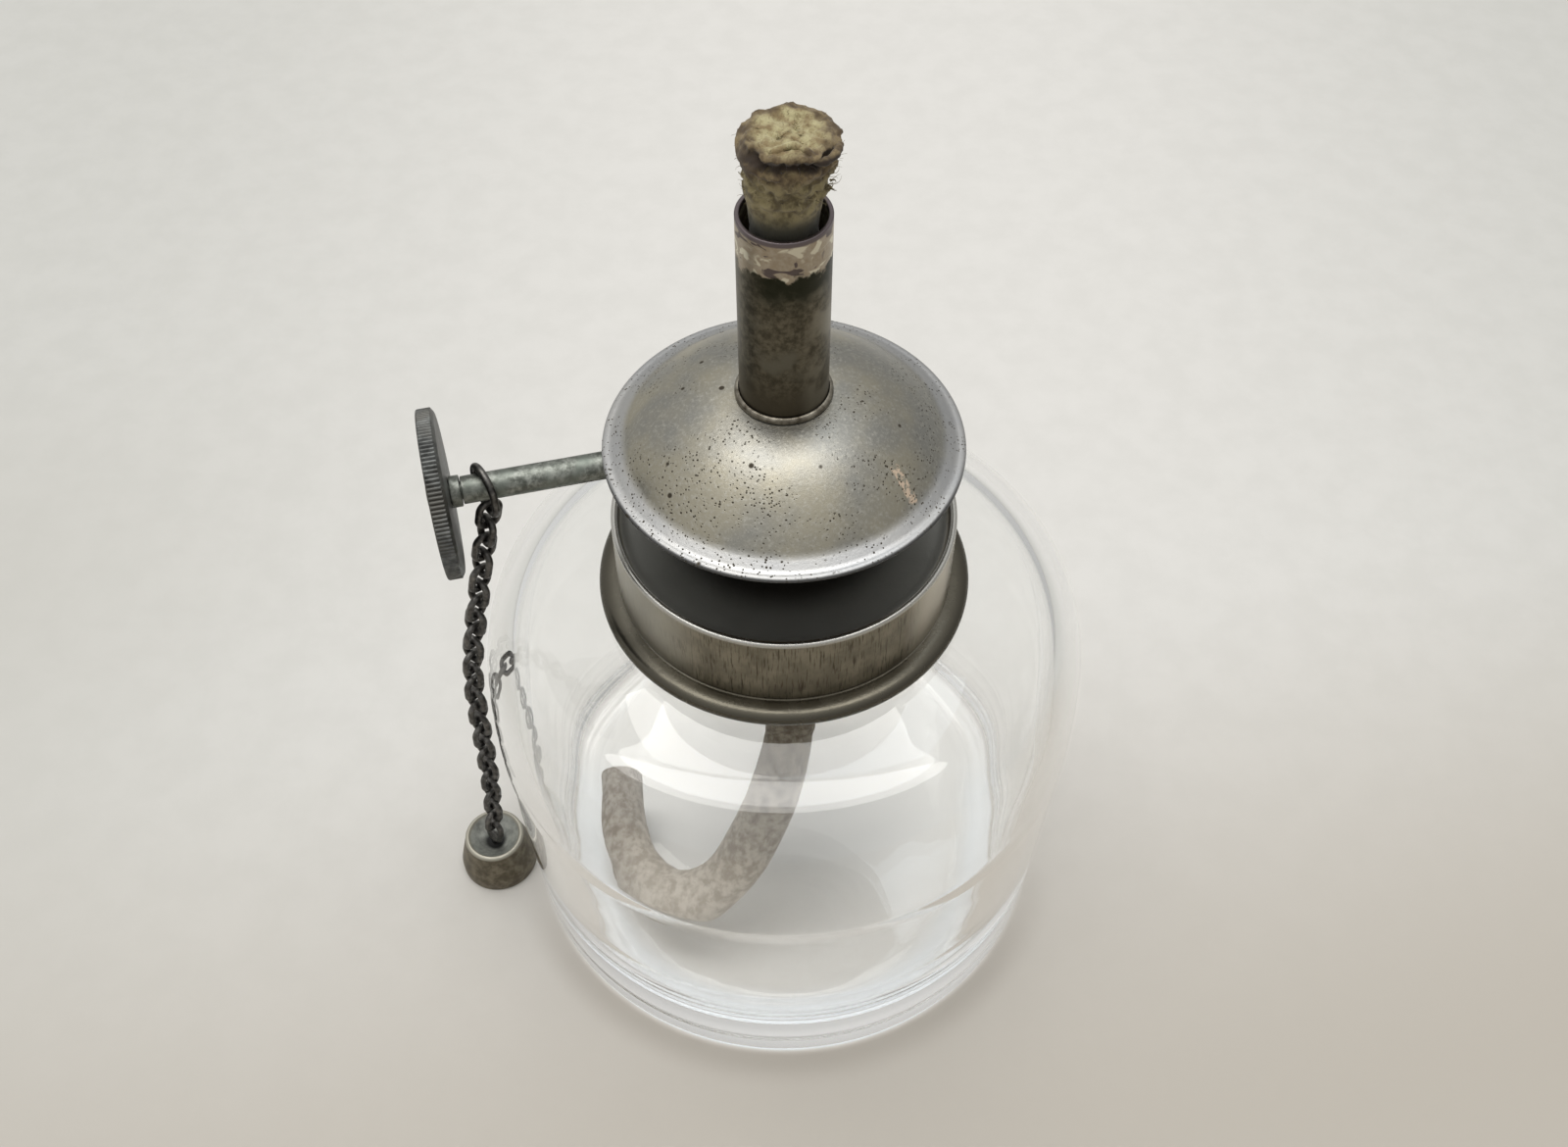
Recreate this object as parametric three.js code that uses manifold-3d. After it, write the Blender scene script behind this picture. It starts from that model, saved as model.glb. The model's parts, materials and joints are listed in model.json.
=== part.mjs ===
// Alcohol burner: a glass bottle, a screw-on metal head with a drip dish and a wick raiser,
// and a snuffer cap on a chain. Millimetres, +Z up, origin at the centre of the bottle's base.
// The raiser's thumb wheel points towards -X.
import * as THREE from 'three';
import { mergeVertices } from 'three/addons/utils/BufferGeometryUtils.js';
import Module from 'manifold-3d';

const wasm = await Module();
wasm.setup();

// Gaps between neighbouring pieces
const seatGap = 0.12; // pieces that are fixed to each other
const runningGap = 0.1; // a turning piece and its bearing
const softGap = 0.3; // a stiff piece and the cotton wick
const cutOverrun = 1.5; // how far a cut runs past what it cuts

// Glass bottle
const bottleRadius = 38;
const widestHeight = 36.5;
const heelTaper = 1.3; // how far the side draws in on its way down to the heel
const heelRound = 2.2;
const shoulderFlat = 2.6; // level stretch between the shoulder's curve and the neck
const shoulderHeight = 57.6;
const shoulderRiseShare = 0.995; // upright handle, of the shoulder's height
const shoulderReachShare = 0.85; // level handle, of the shoulder's width
const shoulderDipShare = 0.08; // how far that handle dips, of the shoulder's height
const bottleWall = 3;
const baseThickness = 5.5;
const innerHeelRound = 6;
const neckRadius = 17.4;
const neckWall = 3.4;
const neckHeight = 10.1;
const neckFillet = 0.9;
const boreFillet = 3;
const mouthRound = 0.8;

// Screw thread on the neck and in the collar, right-handed
const threadPitch = 4.233;
const threadDepth = 1.1;
const threadRootWidth = 2.3;
const threadCrestWidth = 1.1;
const threadClearance = 0.4;
const threadMouthSpace = 1.509; // from the thread's upper end to the mouth
const threadTurns = 1.25;
const threadRunoutShare = 0.12; // each end that fades, of the thread's length
const threadEndShare = 0.35; // depth left at the very end, of the full depth

// Collar: a spun shell with a rolled bead below, a rolled rim above and a sunk top plate
const collarSheet = 0.45;
const collarSpace = 0.75; // under the bead, above the shoulder
const beadReach = 2.3;
const beadHeight = 2.3;
const grooveDepth = 0.2;
const grooveHeight = 0.5;
const rimRise = 1.45; // the rim above the plate
const rimRoll = 0.8;
const plateBend = 2.4; // from the collar's outside to the plate's flat
const sleeveWall = 0.53;
const sleeveInset = 1.38; // the sleeve's foot above the collar's
const washerWidth = 2.9;
const washerThickness = 1.36;
const washerInset = 0.3;

// Wick tube
const tubeRadius = 4.75;
const tubeWall = 0.5;
const tubeStandout = 23.5; // above the dish
const tubeReach = 11.75; // below the collar's plate
const tubeLip = 0.2;
const flangeRadius = 8;
const flangeThickness = 1.2;
const ferruleThickness = 0.4;
const ferruleHeight = 0.6;

// Barrel under the drip dish
const barrelSpace = 3.95; // from the wick tube to the barrel's outside
const barrelWall = 0.6;
const barrelFoot = 1.5;
const barrelFootThickness = 0.6;

// Drip dish: a spun dome with a flat band and a hemmed lip
const dishRadius = 20;
const dishSheet = 0.5;
const dishRise = 11.3; // the dish's rim above the collar's
const domeRise = 7.4;
const bandWidth = 2.5;
const bandRise = 0.85;
const lipWidth = 0.9;
const lipThickness = 0.6;
const domeInnerShare = 0.4; // first handle of the dome, of its width
const domeOuterShare = 0.75; // second handle of the dome, of its width
const domeFallShare = 0.48; // fall to the second handle, of the dome's height

// Wick raiser: shaft, spiked feed wheels and thumb wheel
const shaftRadius = 1.55;
const shaftDishGap = 0.15; // over the shaft, under the dish's lip
const shaftTail = 0.2; // the shaft's inner end past the barrel
const journalRadius = 1; // the shaft's thinner stretch inside the barrel
const shaftAngle = 13.7 * Math.PI / 180;
const bushThickness = 0.65;
const bushLength = 3.6;
const bushStandout = 0.6; // past the barrel
const feedRadius = 1.85;
const feedRootRadius = 1.5;
const feedTeeth = 12;
const feedThickness = 0.8;
const feedSpacing = 2.6;
const knobInset = 0.4; // the wheel's middle inside the bottle's widest radius
const knobRadius = 9.4;
const knobThickness = 1.9;
const knobBevel = 0.3;
const knurlDepth = 0.22;
const knurlTeeth = 60;
const hubRim = 0.2; // the hub's edge outside the shaft
const hubThickness = 1.2;
const spigotRadius = 1;
const rivetRadius = 1.9;
const rivetHeight = 0.8;

// Wick
const wickPlay = 0.9; // round the wick in its tube
const wickFlat = 0.7; // from the wick's middle to its flat side
const wickDrop = 4; // below the tube, where the free stretch starts
const wickStandout = 3.1; // from the tube's top to the head
const wickHeadSwell = 1.5; // the head's edge outside the wick
const wickHeadHeight = 6;
const wickHeadLean = 0.5;
const wickTopShare = 0.8; // radius of the head's top, of its widest radius
const feedTravelUp = 9.9;
const feedTravelDown = 2.1;

// Free stretch of the wick in the bottle, as points chosen along its route
const wickTailRoute = [
  [0, 0, 53.7],
  [0, 0, 50],
  [0.2, -0.3, 45.5],
  [0.8, -3.2, 38],
  [0.4, -9, 30],
  [-3.6, -15.2, 22],
  [-8.8, -19, 15.6],
  [-15, -19.2, 12.3],
  [-20.4, -15.2, 11.6],
  [-23.4, -8.8, 11.6],
  [-24.2, -1.8, 11.6],
];

// Chain
const chainAngle = 9.3 * Math.PI / 180;
const wireDiameter = 0.86;
const linkGap = 0.16;
const linkCount = 26;
const linkSlack = 0.7; // across a link's inside, beside the next link's wire
const hookSpace = 3.65; // from the hook to the thumb wheel
const hookPlay = 0.42; // round the shaft
const hookHang = 2.15; // below the shaft
const hookTilt = 20 * Math.PI / 180;
const linkTwistLinks = 6; // links over which the chain takes its eighth of a turn
const chainFreeReach = 3.3; // how far the chain has swung out by then
const chainFreeSpace = 8.3; // below the thumb wheel
const chainContactShare = 0.22; // where the chain leans on the shoulder, along its curve
const chainSideGap = 2.6;
const chainSideShares = [0.72, 0.5]; // heights on the side, of the widest height
const chainSideSteps = 0.55;

// Snuffer cap, standing mouth down beside the bottle
const snufferRadius = 5.35;
const snufferTaper = 1.15;
const snufferHeight = 6.9;
const snufferWall = 0.5;
const snufferSkirt = 1.6;
const snufferRimRound = 0.45;
const funnelDepth = 1.9;
const snufferSpace = 0.45;
const eyePlay = 0.2; // round the last link's wire
const eyeWireRadius = 0.34;
const eyeShankRadius = 0.42;
const eyeHeadRadius = 0.9;
const eyeHeadThickness = 0.4;

// Facets
const wideFacets = 36;
const smallFacets = 24;
const wireFacets = 5;
const linkSteps = 10;
const curveSteps = 6;
const roundSteps = 3;

// Radii, from the neck and the wick tube outwards
const heelRadius = bottleRadius - heelTaper;
const shoulderRadius = neckRadius + shoulderFlat;
const boreRadius = neckRadius - neckWall;
const collarInner = neckRadius + threadDepth + threadClearance + sleeveWall + seatGap;
const collarRadius = collarInner + collarSheet;
const plateFlatRadius = collarRadius - plateBend;
const tubeFit = tubeRadius + seatGap;
const barrelRadius = tubeRadius + barrelSpace;
const bandRadius = dishRadius - bandWidth;
const wickRadius = tubeRadius - tubeWall - wickPlay;
const wickHeadRadius = wickRadius + wickHeadSwell;

// Heights, from the bottle's shoulder upwards
const collarBase = shoulderHeight + collarSpace;
const mouthHeight = shoulderHeight + neckHeight;
const threadHeight = mouthHeight - threadMouthSpace - threadPitch * threadTurns;
const plateUnder = mouthHeight + washerThickness + 2 * seatGap;
const plateHeight = plateUnder + collarSheet;
const rimHeight = plateHeight + rimRise;
const dishRimHeight = rimHeight + dishRise;
const dishCrownHeight = dishRimHeight + domeRise;
const tubeBottom = plateHeight - tubeReach;
const tubeTop = dishCrownHeight + tubeStandout;
const wickJoint = tubeBottom - wickDrop;
const wickHeadBase = tubeTop + wickStandout;
const wickHeadTop = wickHeadBase + wickHeadHeight;
const shaftHeight = dishRimHeight - lipThickness - shaftDishGap - shaftRadius;

// Places along and beside the shaft
const shaftOffset = wickFlat + softGap + feedRadius;
const bushEnd = barrelRadius + bushStandout;
const shaftInnerEnd = barrelRadius + shaftTail;
const hubRadius = shaftRadius + hubRim;
const knobDistance = bottleRadius - knobInset;
const hookDistance = knobDistance - knobThickness / 2 - hookSpace;

function finish(colour, roughness, metalness) {
  return new THREE.MeshStandardMaterial({ color: colour, roughness, metalness });
}

const looks = {
  glass: finish(0xdfe6e4, 0.05, 0),
  nickel: finish(0xa39c90, 0.38, 0.9),
  collar: finish(0x857a70, 0.42, 0.9),
  bronze: finish(0x4d3f33, 0.5, 0.85),
  steel: finish(0x70716a, 0.45, 0.85),
  zinc: finish(0x5c5e61, 0.45, 0.85),
  gunmetal: finish(0x45413c, 0.45, 0.85),
  cotton: finish(0xcdbb9c, 0.95, 0),
  cork: finish(0x8a6a45, 0.9, 0),
};

function piece(name, geometry, material) {
  const mesh = new THREE.Mesh(geometry, material);
  mesh.name = name;
  return mesh;
}

function upright(path, facets, steps = roundSteps) {
  return new THREE.LatheGeometry(path.getPoints(steps), facets).rotateX(Math.PI / 2);
}

function alongShaft(path, facets) {
  return new THREE.LatheGeometry(path.getPoints(roundSteps), facets).rotateZ(-Math.PI / 2);
}

// A ring of rectangular section, as a path that closes on itself
function ringPath(inner, outer, low, high) {
  const path = new THREE.Path();
  path.moveTo(inner, low);
  path.lineTo(outer, low);
  path.lineTo(outer, high);
  path.lineTo(inner, high);
  path.lineTo(inner, low);
  return path;
}

function discPath(radius, low, high) {
  const path = new THREE.Path();
  path.moveTo(0, low);
  path.lineTo(radius, low);
  path.lineTo(radius, high);
  path.lineTo(0, high);
  return path;
}

function toSolid(geometry) {
  const bare = geometry.clone();
  bare.deleteAttribute('normal');
  bare.deleteAttribute('uv');
  const merged = mergeVertices(bare);
  const corners = merged.index.array;
  const triVerts = [];
  for (let i = 0; i < corners.length; i += 3) {
    const [a, b, c] = corners.slice(i, i + 3);
    if (a !== b && b !== c && c !== a) {
      triVerts.push(a, b, c);
    }
  }
  const mesh = new wasm.Mesh({
    numProp: 3,
    vertProperties: new Float32Array(merged.attributes.position.array),
    triVerts: new Uint32Array(triVerts),
  });
  return new wasm.Manifold(mesh);
}

function toGeometry(solid) {
  const mesh = solid.getMesh();
  const geometry = new THREE.BufferGeometry();
  geometry.setAttribute('position', new THREE.BufferAttribute(mesh.vertProperties, 3));
  geometry.setIndex(new THREE.BufferAttribute(mesh.triVerts, 1));
  geometry.computeVertexNormals();
  return geometry;
}

// A straight bar bent into a right-handed helix, with a trapezoid section that fades at its ends.
// It grows from rootRadius by threadDepth, outwards or inwards, and is buried by bury.
function threadRidge(rootRadius, direction, bury) {
  const steps = Math.round(threadTurns * wideFacets);
  const bar = new THREE.BoxGeometry(1, 1, 1, 1, 1, steps);
  const at = bar.attributes.position;
  for (let i = 0; i < at.count; i += 1) {
    const along = at.getZ(i) + 0.5;
    const crest = at.getX(i) > 0;
    const fade = Math.min(along, 1 - along, threadRunoutShare) / threadRunoutShare;
    const depth = threadDepth * (threadEndShare + (1 - threadEndShare) * fade);
    const width = crest ? threadCrestWidth : threadRootWidth;
    const radius = rootRadius + direction * (crest ? depth : -bury);
    const turn = 2 * Math.PI * threadTurns * along;
    const height = threadHeight + threadPitch * threadTurns * along + at.getY(i) * width;
    at.setXYZ(i, radius * Math.cos(turn), radius * Math.sin(turn), height);
  }
  if (direction < 0) {
    return bar;
  }
  return reversed(bar);
}

function reversed(geometry) {
  const flipped = geometry.clone();
  const corners = flipped.index.array;
  for (let i = 0; i < corners.length; i += 3) {
    const first = corners[i];
    corners[i] = corners[i + 1];
    corners[i + 1] = first;
  }
  return flipped;
}

// The shoulder's outer curve, from the widest point up to the neck
function shoulderCurve() {
  const rise = shoulderHeight - widestHeight;
  const width = bottleRadius - shoulderRadius;
  return new THREE.CubicBezierCurve(
    new THREE.Vector2(bottleRadius, widestHeight),
    new THREE.Vector2(bottleRadius, widestHeight + shoulderRiseShare * rise),
    new THREE.Vector2(
      shoulderRadius + shoulderReachShare * width,
      shoulderHeight - shoulderDipShare * rise,
    ),
    new THREE.Vector2(shoulderRadius, shoulderHeight),
  );
}

function bottlePath() {
  const outer = shoulderCurve();
  const innerRadius = bottleRadius - bottleWall;
  const innerTop = shoulderHeight - bottleWall;
  const rise = innerTop - widestHeight;
  const width = innerRadius - boreRadius - boreFillet;
  const path = new THREE.Path();
  path.moveTo(0, 0);
  path.lineTo(heelRadius - heelRound, 0);
  path.quadraticCurveTo(heelRadius, 0, heelRadius, heelRound);
  path.lineTo(bottleRadius, widestHeight);
  path.bezierCurveTo(
    outer.v1.x, outer.v1.y, outer.v2.x, outer.v2.y, outer.v3.x, outer.v3.y,
  );
  path.lineTo(neckRadius + neckFillet, shoulderHeight);
  path.lineTo(neckRadius, shoulderHeight + neckFillet);
  path.lineTo(neckRadius, mouthHeight - mouthRound);
  path.lineTo(neckRadius - mouthRound, mouthHeight);
  path.lineTo(boreRadius + mouthRound, mouthHeight);
  path.lineTo(boreRadius, mouthHeight - mouthRound);
  path.lineTo(boreRadius, innerTop + boreFillet);
  path.lineTo(boreRadius + boreFillet, innerTop);
  path.bezierCurveTo(
    boreRadius + boreFillet + shoulderReachShare * width,
    innerTop - shoulderDipShare * rise,
    innerRadius,
    widestHeight + shoulderRiseShare * rise,
    innerRadius,
    widestHeight,
  );
  path.lineTo(heelRadius - bottleWall, baseThickness + innerHeelRound);
  path.quadraticCurveTo(
    heelRadius - bottleWall,
    baseThickness,
    heelRadius - bottleWall - innerHeelRound,
    baseThickness,
  );
  path.lineTo(0, baseThickness);
  return path;
}

function glassBottle() {
  const body = toSolid(upright(bottlePath(), wideFacets, curveSteps));
  const thread = toSolid(threadRidge(neckRadius, 1, threadClearance));
  return piece('glass_bottle', toGeometry(body.add(thread)), looks.glass);
}

function sealingWasher() {
  const outer = neckRadius - washerInset;
  const path = ringPath(outer - washerWidth, outer, mouthHeight + seatGap, plateUnder - seatGap);
  return piece('sealing_washer', upright(path, wideFacets), looks.cork);
}

function collarPath() {
  const beadRadius = collarRadius + beadReach;
  const beadMiddle = collarBase + beadHeight / 2;
  const beadTop = collarBase + beadHeight;
  const grooveRadius = collarRadius - grooveDepth;
  const rollInner = collarRadius - rimRoll;
  const path = new THREE.Path();
  path.moveTo(collarInner, collarBase + collarSheet);
  path.lineTo(collarRadius, collarBase);
  path.quadraticCurveTo(beadRadius, collarBase, beadRadius, beadMiddle);
  path.quadraticCurveTo(beadRadius, beadTop, collarRadius, beadTop);
  path.lineTo(grooveRadius, beadTop + grooveHeight / 2);
  path.lineTo(collarRadius, beadTop + grooveHeight);
  path.lineTo(collarRadius, rimHeight - rimRoll / 2);
  path.quadraticCurveTo(collarRadius, rimHeight, collarRadius - rimRoll / 2, rimHeight);
  path.quadraticCurveTo(rollInner, rimHeight, rollInner, rimHeight - rimRoll / 2);
  path.quadraticCurveTo(rollInner, plateHeight, plateFlatRadius, plateHeight);
  path.lineTo(tubeFit, plateHeight);
  path.lineTo(tubeFit, plateUnder);
  path.lineTo(collarInner - collarSheet, plateUnder);
  path.lineTo(collarInner, plateUnder - collarSheet);
  path.lineTo(collarInner, collarBase + collarSheet);
  return path;
}

function collarShell() {
  return piece('collar_shell', upright(collarPath(), wideFacets), looks.collar);
}

function threadSleeve() {
  const rootRadius = neckRadius + threadDepth + threadClearance;
  const outer = collarInner - seatGap;
  const low = collarBase + sleeveInset;
  const high = plateUnder - collarSheet - seatGap;
  const ring = toSolid(upright(ringPath(rootRadius, outer, low, high), wideFacets));
  const ridge = threadRidge(rootRadius, -1, (outer - rootRadius) / 2);
  ridge.rotateZ(Math.PI);
  return piece('thread_sleeve', toGeometry(ring.add(toSolid(ridge))), looks.bronze);
}

function tubeFlange() {
  const high = plateUnder - seatGap;
  const path = ringPath(tubeFit, flangeRadius, high - flangeThickness, high);
  return piece('tube_flange', upright(path, smallFacets), looks.bronze);
}

// The dome's upper curve, from the wick tube out to the flat band
function domeCurve(drop) {
  const width = bandRadius - tubeFit;
  const bandHeight = dishRimHeight + bandRise;
  const fall = dishCrownHeight - bandHeight;
  return new THREE.CubicBezierCurve(
    new THREE.Vector2(tubeFit, dishCrownHeight - drop),
    new THREE.Vector2(tubeFit + domeInnerShare * width, dishCrownHeight - drop),
    new THREE.Vector2(
      tubeFit + domeOuterShare * width,
      dishCrownHeight - domeFallShare * fall - drop,
    ),
    new THREE.Vector2(bandRadius, bandHeight - drop),
  );
}

function heightOn(curve, radius) {
  const points = curve.getPoints(wideFacets);
  const beyond = points.findIndex((point) => point.x > radius);
  return Math.min(points[beyond - 1].y, points[beyond].y);
}

function dishPath() {
  const top = domeCurve(0);
  const under = domeCurve(dishSheet);
  const lipInner = dishRadius - lipWidth;
  const path = new THREE.Path();
  path.moveTo(under.v0.x, under.v0.y);
  path.bezierCurveTo(under.v1.x, under.v1.y, under.v2.x, under.v2.y, under.v3.x, under.v3.y);
  path.lineTo(lipInner, dishRimHeight - dishSheet);
  path.lineTo(lipInner, dishRimHeight - lipThickness);
  path.quadraticCurveTo(
    dishRadius, dishRimHeight - lipThickness, dishRadius, dishRimHeight - lipThickness / 2,
  );
  path.quadraticCurveTo(dishRadius, dishRimHeight, lipInner, dishRimHeight);
  path.lineTo(top.v3.x, top.v3.y);
  path.bezierCurveTo(top.v2.x, top.v2.y, top.v1.x, top.v1.y, top.v0.x, top.v0.y);
  path.lineTo(under.v0.x, under.v0.y);
  return path;
}

function dripDish() {
  return piece('drip_dish', upright(dishPath(), wideFacets, curveSteps), looks.nickel);
}

// Frame of the shaft: its +X runs out to the thumb wheel, its origin is nearest the wick
function onShaft(...pieces) {
  const frame = new THREE.Group();
  frame.position.set(
    -shaftOffset * Math.sin(shaftAngle),
    shaftOffset * Math.cos(shaftAngle),
    shaftHeight,
  );
  frame.rotation.z = Math.PI + shaftAngle;
  frame.add(...pieces);
  frame.updateMatrixWorld(true);
  return frame;
}

// A solid built along the shaft, moved to its place in the burner for a cut
function placedOnShaft(geometry) {
  return toSolid(geometry.clone().applyMatrix4(onShaft(new THREE.Group()).matrixWorld));
}

function burnerBarrel() {
  const low = plateHeight + seatGap;
  const high = heightOn(domeCurve(dishSheet), barrelRadius) - seatGap;
  const inner = barrelRadius - barrelWall;
  const foot = barrelRadius + barrelFoot;
  const path = new THREE.Path();
  path.moveTo(inner, low);
  path.lineTo(foot, low);
  path.lineTo(foot, low + barrelFootThickness);
  path.lineTo(barrelRadius, low + barrelFootThickness);
  path.lineTo(barrelRadius, high);
  path.lineTo(inner, high);
  path.lineTo(inner, low);
  const hole = shaftRadius + runningGap + bushThickness + seatGap;
  const reach = barrelRadius + cutOverrun;
  const bore = placedOnShaft(alongShaft(discPath(hole, -reach, reach), smallFacets));
  const shell = toSolid(upright(path, wideFacets));
  return piece('burner_barrel', toGeometry(shell.subtract(bore)), looks.bronze);
}

function tubePath() {
  const inner = tubeRadius - tubeWall;
  const path = new THREE.Path();
  path.moveTo(inner, tubeBottom);
  path.lineTo(tubeRadius, tubeBottom);
  path.lineTo(tubeRadius, tubeTop - tubeLip);
  path.lineTo(tubeRadius - tubeLip, tubeTop);
  path.lineTo(inner, tubeTop);
  path.lineTo(inner, tubeBottom);
  return path;
}

// The tube's window lets the feed wheels reach the wick
function wickTube() {
  const reach = feedRadius + softGap;
  const window = new THREE.BoxGeometry(2 * tubeRadius + cutOverrun, 2 * reach, 2 * reach);
  const shell = toSolid(upright(tubePath(), smallFacets));
  return piece('wick_tube', toGeometry(shell.subtract(placedOnShaft(window))), looks.bronze);
}

function tubeFerrule() {
  const low = dishCrownHeight + seatGap;
  const outer = tubeFit + ferruleThickness;
  const path = new THREE.Path();
  path.moveTo(tubeFit, low);
  path.lineTo(outer, low);
  path.quadraticCurveTo(outer, low + ferruleHeight, tubeFit, low + ferruleHeight);
  path.lineTo(tubeFit, low);
  return piece('tube_ferrule', upright(path, smallFacets), looks.nickel);
}

function shaftBush(name, bore, start) {
  const outer = shaftRadius + runningGap + bushThickness;
  const path = ringPath(bore + runningGap, outer, start, start + bushLength);
  return piece(name, alongShaft(path, smallFacets), looks.steel);
}

function feedShaft() {
  const shoulder = knobDistance - knobThickness / 2 - seatGap;
  const end = knobDistance + knobThickness / 2 + seatGap;
  const step = bushEnd - bushLength;
  const path = new THREE.Path();
  path.moveTo(0, -shaftInnerEnd);
  path.lineTo(journalRadius, -shaftInnerEnd);
  path.lineTo(journalRadius, step);
  path.lineTo(shaftRadius, step);
  path.lineTo(shaftRadius, shoulder - hubThickness);
  path.lineTo(spigotRadius, shoulder - hubThickness);
  path.lineTo(spigotRadius, end);
  path.lineTo(0, end);
  return piece('feed_shaft', alongShaft(path, smallFacets), looks.steel);
}

// A toothed outline with one point at each tip and one in each gap
function toothedShape(teeth, tipRadius, rootRadius, boreRadius) {
  const shape = new THREE.Shape();
  for (let i = 0; i < 2 * teeth; i += 1) {
    const radius = i % 2 ? rootRadius : tipRadius;
    const turn = Math.PI * i / teeth;
    shape[i ? 'lineTo' : 'moveTo'](radius * Math.cos(turn), radius * Math.sin(turn));
  }
  shape.closePath();
  const bore = new THREE.Path();
  bore.absarc(0, 0, boreRadius, 0, 2 * Math.PI);
  shape.holes.push(bore);
  return shape;
}

function feedWheel(name, middle) {
  const shape = toothedShape(feedTeeth, feedRadius, feedRootRadius, journalRadius + seatGap);
  const disc = new THREE.ExtrudeGeometry(shape, {
    depth: feedThickness,
    bevelEnabled: false,
    curveSegments: smallFacets / 2,
  });
  disc.rotateY(Math.PI / 2);
  disc.translate(middle - feedThickness / 2, 0, 0);
  return piece(name, disc, looks.steel);
}

function thumbWheel() {
  const tip = knobRadius - knobBevel;
  const shape = toothedShape(knurlTeeth, tip, tip - knurlDepth, spigotRadius + seatGap + knobBevel);
  const disc = new THREE.ExtrudeGeometry(shape, {
    depth: knobThickness - 2 * knobBevel,
    bevelThickness: knobBevel,
    bevelSize: knobBevel,
    bevelSegments: 1,
    curveSegments: smallFacets / 2,
  });
  disc.rotateY(Math.PI / 2);
  disc.translate(knobDistance - knobThickness / 2 + knobBevel, 0, 0);
  return piece('thumb_wheel', disc, looks.zinc);
}

function knobHub() {
  const end = knobDistance - knobThickness / 2 - seatGap;
  const path = ringPath(spigotRadius + seatGap, hubRadius, end - hubThickness + seatGap, end);
  return piece('knob_hub', alongShaft(path, smallFacets), looks.steel);
}

function knobRivet() {
  const start = knobDistance + knobThickness / 2 + 2 * seatGap;
  const path = new THREE.Path();
  path.moveTo(0, start);
  path.lineTo(rivetRadius, start);
  path.quadraticCurveTo(rivetRadius, start + rivetHeight, 0, start + rivetHeight);
  return piece('knob_rivet', alongShaft(path, smallFacets), looks.steel);
}

// The wick has one flat side where the feed wheels press it, as far as it can be fed
function wick() {
  const path = new THREE.Path();
  path.moveTo(0, wickJoint);
  path.lineTo(wickRadius, wickJoint);
  path.lineTo(wickRadius, wickHeadBase);
  path.quadraticCurveTo(
    wickHeadRadius, wickHeadBase, wickHeadRadius, (wickHeadBase + wickHeadTop) / 2,
  );
  path.quadraticCurveTo(
    wickHeadRadius, wickHeadTop, wickTopShare * wickHeadRadius, wickHeadTop,
  );
  path.lineTo(0, wickHeadTop);
  const body = upright(path, smallFacets);
  const at = body.attributes.position;
  for (let i = 0; i < at.count; i += 1) {
    const share = (at.getZ(i) - tubeTop) / (wickHeadTop - tubeTop);
    at.setX(i, at.getX(i) + wickHeadLean * Math.max(share, 0));
  }
  const flatLow = -feedTravelUp - feedRadius - softGap;
  const flatHigh = feedTravelDown + feedRadius + softGap;
  const reach = feedRadius + softGap;
  const flat = new THREE.BoxGeometry(4 * wickRadius, 2 * reach, flatHigh - flatLow);
  flat.translate(0, 0, (flatHigh + flatLow) / 2);
  const cotton = toSolid(body).subtract(placedOnShaft(flat));
  return piece('wick', toGeometry(cotton), looks.cotton);
}

function wickTail() {
  const points = wickTailRoute.map(([x, y, z]) => new THREE.Vector3(x, y, z));
  const section = new THREE.Shape();
  section.absarc(0, 0, wickRadius, 0, 2 * Math.PI);
  const tail = new THREE.ExtrudeGeometry(section, {
    steps: wideFacets / 2,
    curveSegments: smallFacets / 4,
    extrudePath: new THREE.CatmullRomCurve3(points),
  });
  return piece('wick_tail', tail, looks.cotton);
}

// An oval ring of round wire, long axis X, flat in the XY plane
function linkGeometry(halfLength, halfWidth, wireRadius) {
  const outline = new THREE.Path();
  const straight = halfLength - halfWidth;
  outline.absarc(straight, 0, halfWidth, -Math.PI / 2, Math.PI / 2);
  outline.absarc(-straight, 0, halfWidth, Math.PI / 2, 3 * Math.PI / 2);
  outline.closePath();
  const points = outline.getSpacedPoints(linkSteps).slice(1);
  const curve = new THREE.CatmullRomCurve3(
    points.map((point) => new THREE.Vector3(point.x, point.y, 0)),
    true,
  );
  return new THREE.TubeGeometry(curve, linkSteps, wireRadius, wireFacets, true);
}

function turned(mesh, centre, along, across) {
  const normal = new THREE.Vector3().crossVectors(along, across);
  mesh.quaternion.setFromRotationMatrix(new THREE.Matrix4().makeBasis(along, across, normal));
  mesh.position.copy(centre);
  return mesh;
}

const wireRadius = wireDiameter / 2;
const linkWidth = 3 * wireDiameter + linkSlack;
const hookHalfWidth = shaftRadius + wireRadius + hookPlay;
const hookDrop = shaftRadius + hookHang;
const hookTurn = shaftAngle - chainAngle + hookTilt;
const snufferDistance = heelRadius + snufferRadius + snufferSpace;
const snufferTopRadius = snufferRadius - snufferTaper;
const funnelBottom = snufferHeight - funnelDepth;
const eyeRadius = wireRadius + eyeWireRadius + eyePlay;
const eyeHeight = funnelBottom + eyeRadius + eyeWireRadius + seatGap;
const lastWireHeight = eyeHeight + eyeRadius - eyeWireRadius - linkGap - wireRadius;

// Where the shaft passes the chain's hook, in the chain's frame: out, across and up
function hookPoint() {
  const distance = Math.sqrt(hookDistance ** 2 - shaftOffset ** 2);
  const turn = chainAngle - shaftAngle;
  return new THREE.Vector3(
    distance * Math.cos(turn) - shaftOffset * Math.sin(turn),
    -distance * Math.sin(turn) - shaftOffset * Math.cos(turn),
    shaftHeight,
  );
}

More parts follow.
